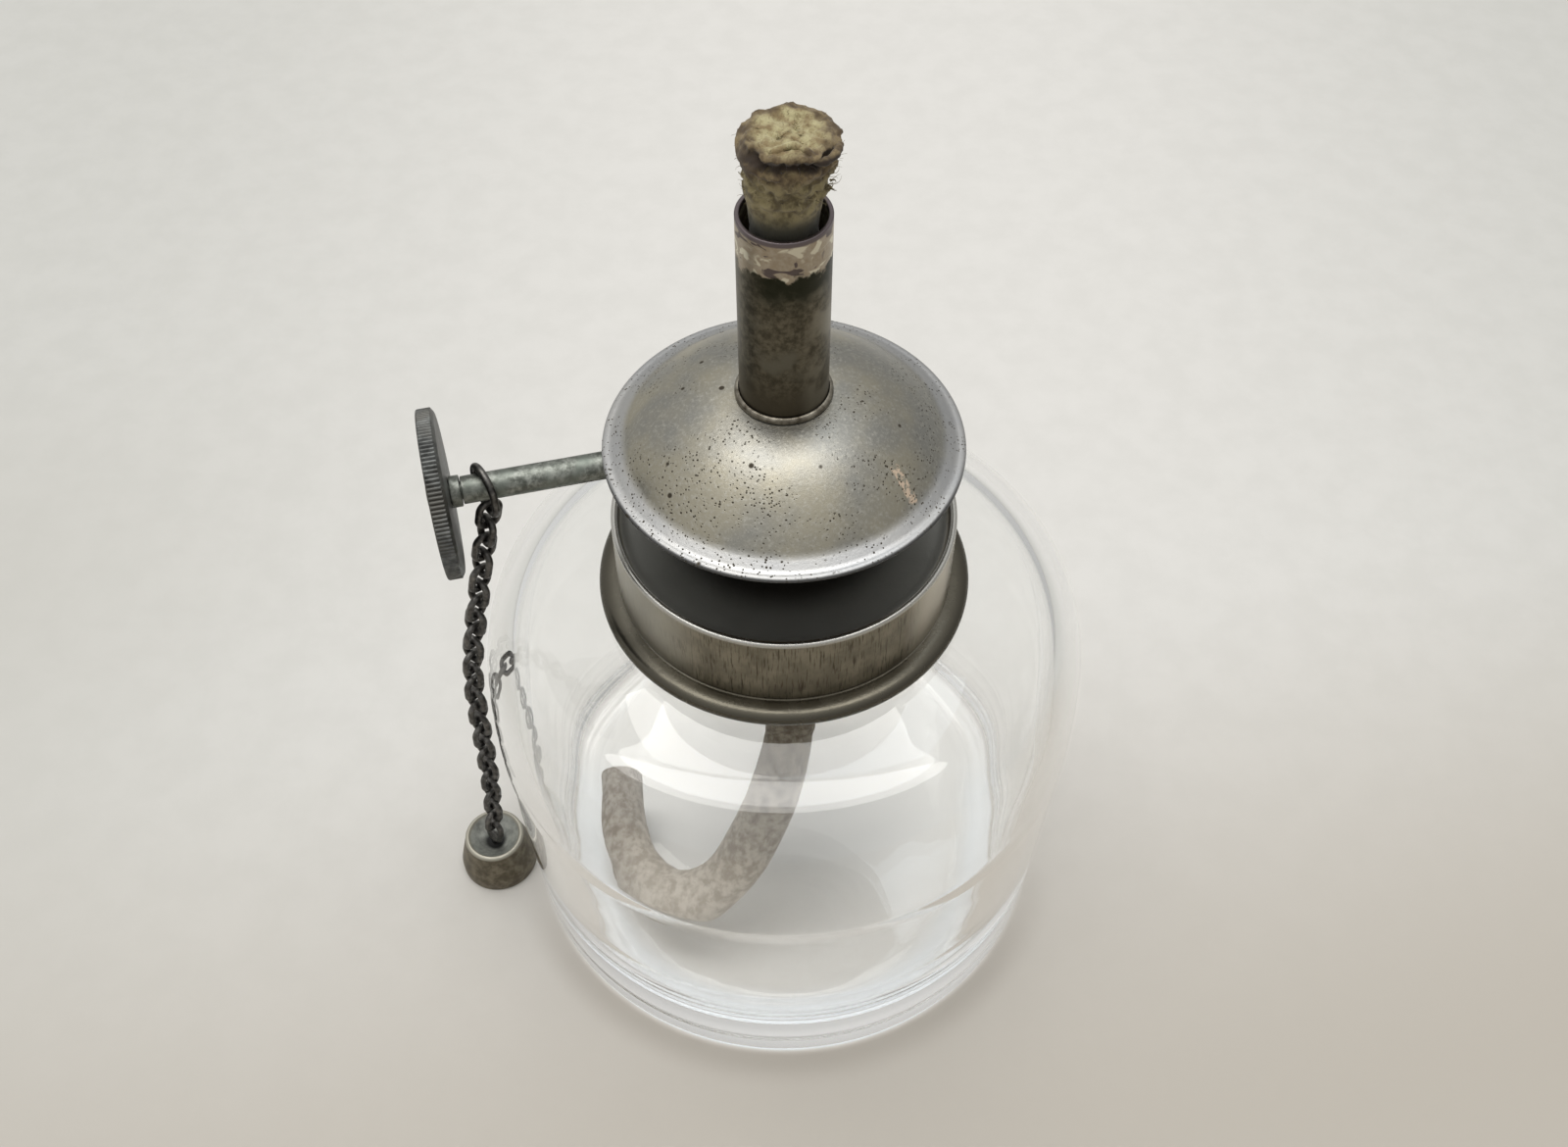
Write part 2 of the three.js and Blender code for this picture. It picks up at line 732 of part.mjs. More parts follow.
// The chain's line, from its first wire in the hook to its last wire in the snuffer's eye
function chainCurve() {
  const hook = hookPoint();
  const hookFoot = new THREE.Vector3(hook.x, hook.y, hook.z - hookDrop);
  const free = new THREE.Vector3(hook.x + chainFreeReach, 0, hook.z - knobRadius - chainFreeSpace);
  const away = new THREE.Vector3().subVectors(free, hookFoot).normalize();
  const shoulder = shoulderCurve();
  const lean = shoulder.getPoint(chainContactShare);
  const slope = shoulder.getTangent(chainContactShare);
  const standOff = linkWidth / 2 + linkGap;
  const sides = chainSideShares.map((share, i) => new THREE.Vector3(
    bottleRadius + chainSideGap + i * chainSideSteps,
    0,
    share * widestHeight,
  ));
  return new THREE.CatmullRomCurve3([
    hookFoot.addScaledVector(away, -wireDiameter - linkGap),
    free,
    new THREE.Vector3(lean.x + slope.y * standOff, 0, lean.y - slope.x * standOff),
    ...sides,
    new THREE.Vector3(snufferDistance, 0, lastWireHeight),
  ]);
}

function chainLinks() {
  const chainLine = chainCurve();
  const chainLength = chainLine.getLength();
  const pitch = (chainLength - wireDiameter - linkGap) / linkCount;
  const halfLength = (pitch + wireDiameter + linkGap) / 2;
  const halfWidth = (linkWidth - wireDiameter) / 2;
  const side = new THREE.Vector3(0, 1, 0);
  const links = [];
  for (let i = 0; i < linkCount; i += 1) {
    const start = i * pitch / chainLength;
    const end = Math.min((i * pitch + 2 * halfLength) / chainLength, 1);
    const top = chainLine.getPointAt(start);
    const bottom = chainLine.getPointAt(end);
    const along = new THREE.Vector3().subVectors(bottom, top).normalize();
    const outward = new THREE.Vector3().crossVectors(along, side).normalize();
    const twist = hookTurn + (Math.PI / 4 - hookTurn) * Math.min(i / linkTwistLinks, 1);
    const across = outward.clone().applyAxisAngle(along, (i % 2) * Math.PI / 2 - twist);
    const centre = top.clone().add(bottom).multiplyScalar(1 / 2);
    const name = `chain_link_${String(i + 1).padStart(2, '0')}`;
    const link = piece(name, linkGeometry(halfLength, halfWidth, wireRadius), looks.gunmetal);
    links.push(turned(link, centre, along, across));
  }
  return links;
}

function chainHook() {
  const hook = hookPoint();
  const halfLength = (hookDrop + hookHalfWidth) / 2;
  const loop = piece(
    'chain_hook',
    linkGeometry(halfLength, hookHalfWidth, wireRadius),
    looks.gunmetal,
  );
  const centre = new THREE.Vector3(hook.x, hook.y, hook.z - hookDrop + halfLength);
  const down = new THREE.Vector3(0, 0, -1);
  const across = new THREE.Vector3(-Math.sin(hookTurn), Math.cos(hookTurn), 0);
  return turned(loop, centre, down, across);
}

function snufferPath() {
  const mouth = snufferRadius - snufferWall;
  const topInner = snufferTopRadius - snufferWall;
  const hole = eyeShankRadius + seatGap;
  const path = new THREE.Path();
  path.moveTo(mouth, 0);
  path.lineTo(snufferRadius, 0);
  path.lineTo(snufferRadius, snufferSkirt);
  path.lineTo(snufferTopRadius, snufferHeight - snufferRimRound);
  path.quadraticCurveTo(snufferTopRadius, snufferHeight, topInner, snufferHeight);
  path.quadraticCurveTo(topInner / 2, funnelBottom, hole, funnelBottom);
  path.lineTo(hole, funnelBottom - snufferWall);
  path.quadraticCurveTo(
    topInner / 2,
    funnelBottom - snufferWall,
    topInner - snufferWall,
    snufferHeight - snufferWall - snufferRimRound,
  );
  path.lineTo(mouth, snufferSkirt);
  path.lineTo(mouth, 0);
  return path;
}

function snufferCap() {
  return piece('snuffer_cap', upright(snufferPath(), smallFacets), looks.gunmetal);
}

// A ring on a shank that goes through the cap's funnel to a flat head below. It stands square to
// the last link, whose turn depends on the number of links.
function snufferEye() {
  const ring = linkGeometry(eyeRadius, eyeRadius, eyeWireRadius);
  ring.rotateX(Math.PI / 2);
  ring.rotateZ(linkCount % 2 ? -Math.PI / 4 : Math.PI / 4);
  ring.translate(0, 0, eyeHeight);
  const under = funnelBottom - snufferWall - seatGap;
  const path = new THREE.Path();
  path.moveTo(0, under - eyeHeadThickness);
  path.lineTo(eyeHeadRadius, under - eyeHeadThickness);
  path.lineTo(eyeHeadRadius, under);
  path.lineTo(eyeShankRadius, under);
  path.lineTo(eyeShankRadius, eyeHeight - eyeRadius);
  path.lineTo(0, eyeHeight - eyeRadius);
  const shank = toSolid(upright(path, smallFacets / 2));
  return piece('snuffer_eye', toGeometry(shank.add(toSolid(ring))), looks.gunmetal);
}

function chainFrame(...pieces) {
  const frame = new THREE.Group();
  frame.rotation.z = Math.PI + chainAngle;
  frame.add(...pieces);
  return frame;
}

const snuffer = new THREE.Group();
snuffer.position.x = snufferDistance;
snuffer.add(snufferCap(), snufferEye());

const burner = new THREE.Group();
burner.add(
  glassBottle(),
  sealingWasher(),
  collarShell(),
  threadSleeve(),
  tubeFlange(),
  burnerBarrel(),
  dripDish(),
  wickTube(),
  tubeFerrule(),
  onShaft(
    shaftBush('shaft_bush_outer', shaftRadius, bushEnd - bushLength),
    shaftBush('shaft_bush_inner', journalRadius, -bushEnd),
    feedShaft(),
    feedWheel('feed_wheel_outer', feedSpacing / 2),
    feedWheel('feed_wheel_inner', -feedSpacing / 2),
    knobHub(),
    thumbWheel(),
    knobRivet(),
  ),
  wick(),
  wickTail(),
  chainFrame(chainHook(), ...chainLinks(), snuffer),
);

export default burner;
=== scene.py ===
# Alcohol burner: the fine surface and the finish of every piece, round the loaded solids.
# Sizes and places are in millimetres and become metres in make_mesh. +Z up, origin at the centre
# of the bottle's base. The thumb wheel and the chain are towards -X.
import json
import math
import random

import bmesh
import bpy
import numpy as np
from mathutils import Matrix, Vector, noise


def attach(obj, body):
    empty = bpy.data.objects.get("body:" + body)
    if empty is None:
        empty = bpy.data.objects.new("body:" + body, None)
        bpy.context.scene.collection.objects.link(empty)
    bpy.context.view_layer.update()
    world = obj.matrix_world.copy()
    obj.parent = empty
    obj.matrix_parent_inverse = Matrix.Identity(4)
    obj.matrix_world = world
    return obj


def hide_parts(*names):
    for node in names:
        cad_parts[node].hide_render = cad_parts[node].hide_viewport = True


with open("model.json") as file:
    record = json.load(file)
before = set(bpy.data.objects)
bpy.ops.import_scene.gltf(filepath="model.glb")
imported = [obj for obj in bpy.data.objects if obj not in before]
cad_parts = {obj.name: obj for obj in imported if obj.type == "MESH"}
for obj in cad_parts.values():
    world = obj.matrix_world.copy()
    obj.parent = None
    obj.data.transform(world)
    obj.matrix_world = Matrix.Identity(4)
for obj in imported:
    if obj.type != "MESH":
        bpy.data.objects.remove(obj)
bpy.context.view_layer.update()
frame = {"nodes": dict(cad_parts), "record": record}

MM = 0.001
TURN = 2 * math.pi

# Camera and floor
CAMERA_PLACE = (0, -119.05, 207.7)
CAMERA_AIM = (0, 0, 58.7)
CAMERA_LENS = 36
CAMERA_FILM = 36
CAMERA_NEAR = 10
FLOOR_SIDE = 6000
FLOOR_DROP = 0.03
ROOM_STOPS = [(0, 0.28), (0.35, 0.28), (0.6, 0.31), (0.8, 0.42), (0.92, 0.5), (1, 0.55)]
ROOM_TINT = (1, 1, 0.98)
ROOM_LEFT = 2.4
ROOM_RIGHT = 1.6
# Name, shape, place, where it points, size, watts and colour
LIGHTS = [
    ("ceiling", "ELLIPSE", (-40, 50, 1000), (-40, 0, 50), (980, 340), 3.4, (1, 0.99, 0.97)),
    ("window_left", "RECTANGLE", (-135, 370, 1000), (-135, 0, 50), (250, 250), 0.62,
     (1, 0.98, 0.94)),
    ("window_right", "RECTANGLE", (150, 370, 1000), (150, 0, 50), (300, 250), 0.35, (0.8, 0.9, 1)),
]

# Bottle
BOTTLE_RADIUS = 38
WIDEST_HEIGHT = 36.5
HEEL_RADIUS = 36.7
HEEL_ROUND = 2.2
SHOULDER_RADIUS = 20
SHOULDER_HEIGHT = 57.6
RISE_SHARE = 0.995
REACH_SHARE = 0.85
DIP_SHARE = 0.08
INNER_DIP_SHARE = 0.17
BOTTLE_WALL = 3
BASE_THICKNESS = 5.5
BASE_CROWN = 0.3
INNER_HEEL = 6
NECK_RADIUS = 17.4
NECK_FILLET = 0.9
NECK_FOOT = SHOULDER_HEIGHT + NECK_FILLET
BORE_RADIUS = 14
BORE_FILLET = 6.5
MOUTH_HEIGHT = 67.7
MOUTH_ROUND = 0.8
PUSH_UP = 0.35
RIPPLE_HEIGHT = 17
OUTER_RIPPLE = 0.045
OUTER_RIPPLE_LENGTH = 4.7
INNER_RIPPLE = 0.085
INNER_RIPPLE_LENGTH = 5.6
BEARING_INNER = 31
GLASS_INDEX = 1.5
GLASS_BOUNCES = 2.5

# Neck thread
THREAD_PITCH = 4.233
THREAD_DEPTH = 1.1
THREAD_CREST = 1.1
THREAD_ROOT = 2.3
THREAD_LOW = 60.9
THREAD_TURNS = 1.25
THREAD_FADE = 0.15

# Collar
COLLAR_RADIUS = 20
COLLAR_SHEET = 0.45
COLLAR_BASE = 58.35
BEAD_REACH = 2.3
BEAD_HEIGHT = 2.3
GROOVE_DEPTH = 0.22
GROOVE_HEIGHT = 0.5
GROOVE_END = 0.7
RIM_HEIGHT = 71.2
RIM_ROLL = 0.8
PLATE_HEIGHT = 69.75
PLATE_FLAT = 17.6

# Wick tube, ferrule and barrel
TUBE_RADIUS = 4.75
TUBE_WALL = 0.5
TUBE_TOP = 113.4
TUBE_BOTTOM = 58
TUBE_FIT = 4.87
TUBE_LIP = 0.18
FERRULE_LOW = 90.02
FERRULE_RADIUS = 5.27
FERRULE_HEIGHT = 0.6
BARREL_RADIUS = 8.7
BARREL_WALL = 0.6
BARREL_LOW = 69.87
BARREL_HIGH = 86.6
BARREL_FOOT = 1.5
BARREL_FOOT_THICKNESS = 0.6
BARREL_BORE = 2.42

# Drip dish
DISH_RADIUS = 20
DISH_SHEET = 0.5
DISH_RIM = 82.5
DISH_CROWN = 89.9
BAND_RADIUS = 17.5
BAND_RISE = 0.85
CROWN_REACH = 0.4
SLOPE_REACH = 0.75
SLOPE_FALL = 0.48
LIP_WIDTH = 0.9
LIP_THICKNESS = 0.6
# Painted reflection of a warm lamp on the dome: the ends of its stroke in plan, and its width.
DISH_PAINTED_GLINT = ((11.5, -7.8), (13.7, -10.5), 1.3)

# Shaft, thumb wheel and feed
SHAFT_FOOT = (-0.675, 2.769, 80.2)
SHAFT_ANGLE = 13.7
SHAFT_RADIUS = 1.55
JOURNAL_RADIUS = 1
JOURNAL_END = 5.7
SHAFT_START = -8.9
HUB_START = 35.45
HUB_RADIUS = 1.75
HUB_GAP = 0.08
SEAT_GAP = 0.12
SHAFT_TAIL = 0.3
WHEEL_START = 36.65
WHEEL_MIDDLE = 37.6
WHEEL_THICKNESS = 1.9
WHEEL_RADIUS = 9.4
WHEEL_BORE = 1.42
WHEEL_BEVEL = 0.3
KNURL_TEETH = 120
KNURL_DEPTH = 0.16
RIVET_RADIUS = 1.9
RIVET_HEIGHT = 0.36
RIVET_GAP = 0.24
FEED_REACH = 2.15

# Wick
WICK_RADIUS = 3.35
WICK_LOW = 54
WICK_FLAT = 0.7
WICK_FLAT_LOW = 68.15
WICK_FLAT_HIGH = 84.45
BRAID_DEPTH = 0.22
BRAID_STRANDS = 8
BRAID_LAY = 3.4
STEM_TOP = 112.4
HEAD_LOW = 117
HEAD_TOP = 122.45
HEAD_CENTRE = 0.4
HEAD_LEAN = 0.55
UNDERCUT_HEIGHT = 121.4
UNDERCUT_SPREAD = 0.55
FRAY_SEED = 7
FRAY_ROOT = 0.6
HEAD_SHAPE = [
    (3.35, STEM_TOP), (3.5, 114), (3.9, 116.2), (4.15, 117.6), (4.25, 118.8), (4.6, 120),
    (4.8, 121.2), (4.6, 122.1), (3.9, HEAD_TOP), (2, 122.3), (0, 122.25),
]
FOLD_ROUTE = [
    (-1.6, -2.7, 122), (-0.8, -3, 122.35), (0.6, -2.4, 122.6), (1.9, -2.9, 122.4),
    (3.2, -3.6, 121.7), (4.4, -2.9, 121.8), (5.1, -1.2, 121.9),
]
TAIL_ROUTE = [
    (0, 0, 53.7), (0, 0, 50), (0.2, -0.3, 45.5), (0.8, -3.2, 38), (0.4, -9, 30),
    (-3.6, -15.2, 22), (-8.8, -19, 15.6), (-15, -19.2, 12.3), (-20.4, -15.2, 11.6),
    (-23.4, -8.8, 11.6), (-24.2, -1.8, 11.6),
]

# Chain and snuffer
WIRE_RADIUS = 0.43
CHAIN_ANGLE = 9.3
SNUFFER_DISTANCE = 42.5
SNUFFER_RADIUS = 5.35
SNUFFER_TOP = 4.2
SNUFFER_HEIGHT = 6.9
SNUFFER_WALL = 0.5
SNUFFER_SKIRT = 1.6
SNUFFER_ROUND = 0.45
FUNNEL_LOW = 5
EYE_HOLE = 0.54
EYE_WIRE = 0.34
EYE_RADIUS = 0.97
EYE_GAP = 0.12
SHANK_RADIUS = 0.42
SHANK_HEAD = 0.9


def clamp(value):
    """The value, held between 0 and 1."""
    return min(max(value, 0), 1)


def line(start, end, steps):
    """Points of a straight line, without its start."""
    return [tuple(a + (b - a) * k / steps for a, b in zip(start, end)) for k in range(1, steps + 1)]


def curve(corners, steps):
    """Points of a curve with one or two handles between its ends, without its start."""
    points = []
    for k in range(1, steps + 1):
        t = k / steps
        u = 1 - t
        shares = (u ** 2, 2 * t * u, t * t)
        if len(corners) > 3:
            shares = (u ** 3, 3 * t * u * u, 3 * t * t * u, t ** 3)
        points.append(tuple(sum(s * p[i] for s, p in zip(shares, corners)) for i in (0, 1)))
    return points


class Outline(list):
    """A profile of (radius, height) points that is drawn on from its last point."""

    def line(self, end, steps):
        self.extend(line(self[-1], end, steps))

    def curve(self, *corners, steps=8):
        self.extend(curve((self[-1], *corners), steps))


def rounded(corners, steps):
    """A profile of (radius, height, rounding) corners, each rounded by its own amount."""
    points = []
    count = len(corners)
    for k, (r, z, amount) in enumerate(corners):
        here = Vector((r, z))
        if not amount:
            points.append((r, z))
            continue
        before = Vector(corners[k - 1][:2]) - here
        after = Vector(corners[(k + 1) % count][:2]) - here
        start = here + before.normalized() * min(amount, before.length / 2)
        end = here + after.normalized() * min(amount, after.length / 2)
        points.append(tuple(start))
        points.extend(curve((start, (r, z), end), steps))
    return points


def revolve(profile, segments=192):
    """A profile turned about Z. It runs from axis to axis, or else closes on itself."""
    points = []
    rings = []
    for r, z in profile:
        count = 1 if r < 1e-6 else segments
        rings.append([len(points) + k for k in range(count)])
        turns = [TURN * k / segments for k in range(count)]
        points.extend((r * math.cos(t), r * math.sin(t), z) for t in turns)
    pairs = list(zip(rings, rings[1:]))
    if len(rings[0]) > 1:
        pairs.append((rings[-1], rings[0]))
    faces = []
    for low, high in pairs:
        for k in range(segments):
            corners = (low[k % len(low)], low[(k + 1) % len(low)])
            corners += (high[(k + 1) % len(high)], high[k % len(high)])
            faces.append(tuple(dict.fromkeys(corners)))
    return points, faces


def turned(corners, segments, steps=6):
    """Corners of (radius, height, rounding), turned about Z."""
    return revolve(rounded(corners, steps), segments)


def sweep(path, radius, sides=12, closed=False):
    """A round wire along a path. The radius is a number or one for each point."""
    path = [Vector(p) for p in path]
    count = len(path)
    radii = radius if isinstance(radius, list) else [radius] * count
    points = []
    side = None
    for k, here in enumerate(path):
        before = path[k - 1] if closed or k else here
        after = path[(k + 1) % count] if closed or k + 1 < count else here
        along = (after - before).normalized()
        if side is None:
            side = along.orthogonal().normalized()
        side = (side - along * side.dot(along)).normalized()
        up = along.cross(side)
        for j in range(sides):
            turn = TURN * j / sides
            points.append(here + radii[k] * (math.cos(turn) * side + math.sin(turn) * up))
    faces = []
    for k in range(count if closed else count - 1):
        for j in range(sides):
            a, b = k * sides, ((k + 1) % count) * sides
            n = (j + 1) % sides
            faces.append((a + j, a + n, b + n, b + j))
    if not closed:
        faces.append(tuple(range(sides)))
        faces.append(tuple((count - 1) * sides + j for j in range(sides)))
    return points, faces


def joined(shapes):
    """One shape of several."""
    points = []
    faces = []
    for more_points, more_faces in shapes:
        start = len(points)
        points.extend(more_points)
        faces.extend(tuple(start + k for k in face) for face in more_faces)
    return points, faces


def moved(shape, matrix):
    return [matrix @ Vector(p) for p in shape[0]], shape[1]


def spline(points, steps):
    """A smooth line through points, evened by chord length, with that many steps a span."""
    points = [Vector(p) for p in points]
    ends = [2 * points[0] - points[1], *points, 2 * points[-1] - points[-2]]
    found = [points[0]]
    for k in range(1, len(ends) - 2):
        a, b, c, d = ends[k - 1:k + 3]
        t0, t1 = 0, (b - a).length ** 0.5
        t2 = t1 + (c - b).length ** 0.5
        t3 = t2 + (d - c).length ** 0.5
        for j in range(1, steps + 1):
            t = t1 + (t2 - t1) * j / steps
            ab = a.lerp(b, (t - t0) / (t1 - t0))
            bc = b.lerp(c, (t - t1) / (t2 - t1))
            cd = c.lerp(d, (t - t2) / (t3 - t2))
            abc = ab.lerp(bc, (t - t0) / (t2 - t0))
            bcd = bc.lerp(cd, (t - t1) / (t3 - t1))
            found.append(abc.lerp(bcd, (t - t1) / (t2 - t1)))
    return found


def add_object(name, data):
    found = bpy.data.objects.new(name, data)
    bpy.context.scene.collection.objects.link(found)
    return found


def make_mesh(name, shape):
    """A mesh from a shape in millimetres, with its faces turned outwards."""
    mesh = bpy.data.meshes.new(name)
    mesh.from_pydata([Vector(p) * MM for p in shape[0]], [], shape[1])
    work = bmesh.new()
    work.from_mesh(mesh)
    bmesh.ops.recalc_face_normals(work, faces=work.faces)
    work.to_mesh(mesh)
    work.free()
    return mesh


def add_piece(name, shape, look, body, node, sharp=35):
    """A mesh object that rides on a body and stands for a CAD node."""
    mesh = make_mesh(name, shape)
    mesh.shade_smooth()
    mesh.set_sharp_from_angle(angle=math.radians(sharp))
    piece = add_object(name, mesh)
    mesh.materials.append(look)
    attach(piece, body)
    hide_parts(node)
    return piece


class Graph:
    """A node tree that grows call by call."""

    def __init__(self, tree):
        self.tree = tree

    def add(self, kind, inputs=(), **settings):
        """A new node with its settings, and a value or a link for each input that is named."""
        found = self.tree.nodes.new(kind)
        for key, value in settings.items():
            setattr(found, key, value)
        for socket, value in dict(inputs).items():
            self.set(found, socket, value)
        return found

    def set(self, found, socket, value):
        if isinstance(value, bpy.types.NodeSocket):
            self.tree.links.new(value, found.inputs[socket])
        else:
            found.inputs[socket].default_value = value

    def ramp(self, value, *stops):
        """Colours by position, as (position, colour) stops."""
        found = self.add("ShaderNodeValToRGB", {"Fac": value})
        elements = found.color_ramp.elements
        while len(elements) < len(stops):
            elements.new(0.5)
        for element, (position, colour) in zip(elements, stops):
            element.position = position
            element.color = (*colour, 1)
        return found.outputs["Color"]


class Look(Graph):
    """A material made of nodes. Lengths that its methods take are millimetres on the piece."""

    def __init__(self, name, colour, metallic=0.0, roughness=0.5):
        self.material = bpy.data.materials.new(name)
        self.material.use_nodes = True
        super().__init__(self.material.node_tree)
        self.shader = self.tree.nodes["Principled BSDF"]
        self.paint((*colour, 1))
        self.set(self.shader, "Metallic", metallic)
        self.rough(roughness)
        self.place = self.add("ShaderNodeTexCoord").outputs["Object"]

    def paint(self, colour):
        self.set(self.shader, "Base Color", colour)

    def rough(self, value):
        self.set(self.shader, "Roughness", value)

    def bump(self, height, depth, strength):
        """Bumps of that depth, on top of those that are there already."""
        inputs = {"Height": height, "Distance": depth * MM, "Strength": strength}
        before = self.shader.inputs["Normal"]
        if before.is_linked:
            inputs["Normal"] = before.links[0].from_socket
        self.set(self.shader, "Normal", self.add("ShaderNodeBump", inputs).outputs["Normal"])

    def noise(self, size, detail=3, roughness=0.5, stretch=(1, 1, 1), distortion=0.0, place=None):
        """Noise whose patches are about size across, stretched by axis."""
        inputs = {"Vector": place or self.place, "Scale": [1 / s for s in stretch]}
        mapping = self.add("ShaderNodeMapping", inputs)
        return self.add("ShaderNodeTexNoise", {
            "Vector": mapping.outputs["Vector"], "Scale": 1 / (size * MM), "Detail": detail,
            "Roughness": roughness, "Distortion": distortion,
        }).outputs["Fac"]

    def cells(self, size):
        """Distance to the nearest of points strewn about size apart, in cells."""
        inputs = {"Vector": self.place, "Scale": 1 / (size * MM)}
        return self.add("ShaderNodeTexVoronoi", inputs).outputs["Distance"]

    def maths(self, operation, first, second=0.0):
        return self.add("ShaderNodeMath", {0: first, 1: second}, operation=operation).outputs[0]

    def times(self, first, second):
        return self.maths("MULTIPLY", first, second)

    def plus(self, first, second):
        return self.maths("ADD", first, second)

    def minus(self, first, second):
        return self.maths("SUBTRACT", first, second)

    def between(self, value, low, high):
        """0 below low, 1 above high and smooth between them. low may be above high."""
        flip = low > high
        return self.add("ShaderNodeMapRange", {
            "Value": value, "From Min": min(low, high), "From Max": max(low, high),
            "To Min": float(flip), "To Max": float(not flip),
        }, interpolation_type="SMOOTHSTEP").outputs["Result"]

    def within(self, *zones):
        """1 where between() gives 1 for every one of the (value, low, high) zones."""
        found = self.between(*zones[0])
        for zone in zones[1:]:
            found = self.times(found, self.between(*zone))
        return found

    def span(self, value, low, high):
        """value, from 0 to 1, spread over low to high."""
        inputs = {"Value": value, "To Min": low, "To Max": high}
        return self.add("ShaderNodeMapRange", inputs).outputs["Result"]

    def mix(self, share, *colours):
        """The first colour where the share is 0 and the second where it is 1."""
        first, second = (c if isinstance(c, bpy.types.NodeSocket) else (*c, 1) for c in colours)
        inputs = {0: share, 6: first, 7: second}
        return self.add("ShaderNodeMix", inputs, data_type="RGBA").outputs[2]

    def blend(self, value, low, high, first, second):
        """first where between() gives 0 and second where it gives 1."""
        return self.mix(self.between(value, low, high), first, second)

    def centred(self, centre):
        """Object place measured from a centre."""
        inputs = {0: self.place, 1: [c * MM for c in centre]}
        return self.add("ShaderNodeVectorMath", inputs, operation="SUBTRACT").outputs[0]

    def parts(self, place=None):
        """x, y and z in millimetres."""
        found = self.add("ShaderNodeSeparateXYZ", {"Vector": place or self.place})
        return [self.maths("DIVIDE", found.outputs[k], MM) for k in range(3)]

    def around(self, place=None):
        """Distance from Z, the way round in radians, and height, lengths in millimetres."""
        x, y, z = self.parts(place)
        squares = self.plus(self.times(x, x), self.times(y, y))
        return self.maths("SQRT", squares), self.maths("ARCTAN2", y, x), z

    def scratch(self, ends, ragged):
        """1 inside a stroke between two places in plan, with a ragged edge."""
        (ax, ay), (bx, by), width = ends
        length = math.hypot(bx - ax, by - ay)
        ux, uy = (bx - ax) / length, (by - ay) / length
        x, y, _ = self.parts()
        x = self.minus(x, (ax + bx) / 2)
        y = self.minus(y, (ay + by) / 2)
        along = self.plus(self.times(x, ux), self.times(y, uy))
        across = self.minus(self.times(x, uy), self.times(y, ux))
        along = self.maths("DIVIDE", self.maths("ABSOLUTE", along), length / 2)
        across = self.maths("DIVIDE", self.maths("ABSOLUTE", across), width / 2)
        reach = self.plus(self.maths("MAXIMUM", along, across), self.times(ragged, 1.4))
        return self.between(reach, 1.75, 1.45)


def aim(thing, place, target):
    thing.location = Vector(place) * MM
    thing.rotation_euler = (Vector(target) - Vector(place)).to_track_quat("-Z", "Y").to_euler()


def make_camera():
    data = bpy.data.cameras.new("camera")
    data.lens = CAMERA_LENS
    data.sensor_width = CAMERA_FILM
    data.clip_start = CAMERA_NEAR * MM
    camera = add_object("camera", data)
    aim(camera, CAMERA_PLACE, CAMERA_AIM)
    bpy.context.scene.camera = camera
    bpy.context.scene.view_settings.view_transform = "Standard"


def floor_look():
    """Pale worktop in painted shade aside, far off, on the left and in front, with a painted shadow
    at the bottle's foot and painted light under the bottle.
    """
    look = Look("floor_pale", (0.62, 0.615, 0.57), roughness=0.6)
    mottle = look.between(look.noise(7, 4, 0.6), 0.3, 0.7)
    pale = look.mix(mottle, (0.665, 0.65, 0.622), (0.695, 0.679, 0.652))
    side = look.mix(mottle, (0.555, 0.549, 0.52), (0.58, 0.573, 0.545))
    x, y, _ = look.parts()
    radius = look.around()[0]
    # Painted shade: the floor is painted darker aside and far off, where less light falls.
    aside = look.between(look.maths("ABSOLUTE", look.minus(x, 20)), 20, 180)
    away = look.maths("MAXIMUM", aside, look.between(radius, 260, 560))
    pale = look.mix(away, pale, side)
    # Painted shade: a darker patch on the far left.
    left = look.within((x, -60, -150), (y, 110, 40))
    pale = look.mix(look.times(left, 0.6), pale, (0.52, 0.505, 0.465))
    # Painted shade: the floor in front of the bottle is painted darker.
    near = look.within((look.plus(y, look.times(x, -0.2)), 40, -62), (radius, 35.8, 37))
    colour = look.mix(near, pale, (0.465, 0.428, 0.376))
    # Painted shadow: a soft contact shadow at the bottle's foot, in front.
    shade = look.within((radius, 42, 37.6), (radius, 36.4, 37.2), (y, -4, -30))
    colour = look.mix(look.times(shade, 0.5), colour, (0.33, 0.295, 0.255))
    # Painted light: a pale bluish ring under the glass's heel, for light the glass gathers.
    glow = look.within((radius, 26, 31), (radius, 36.5, 35.9), (y, 12, -20))
    colour = look.mix(glow, colour, (0.85, 0.905, 0.96))
    # Painted light: a pool of light on the floor under the bottle.
    lit = look.within((radius, 30, 22), (y, 12, -10))
    look.paint(look.mix(look.times(lit, 0.65), colour, (0.83, 0.82, 0.8)))
    look.bump(look.noise(1.6, 4, 0.6), 0.05, 0.35)
    return look.material


def make_floor():
    half = FLOOR_SIDE / 2 * MM
    signs = ((-1, -1), (1, -1), (1, 1), (-1, 1))
    corners = [(x * half, y * half, -FLOOR_DROP * MM) for x, y in signs]
    mesh = bpy.data.meshes.new("floor")
    mesh.from_pydata(corners, [], [(0, 1, 2, 3)])
    mesh.materials.append(floor_look())
    add_object("floor", mesh)


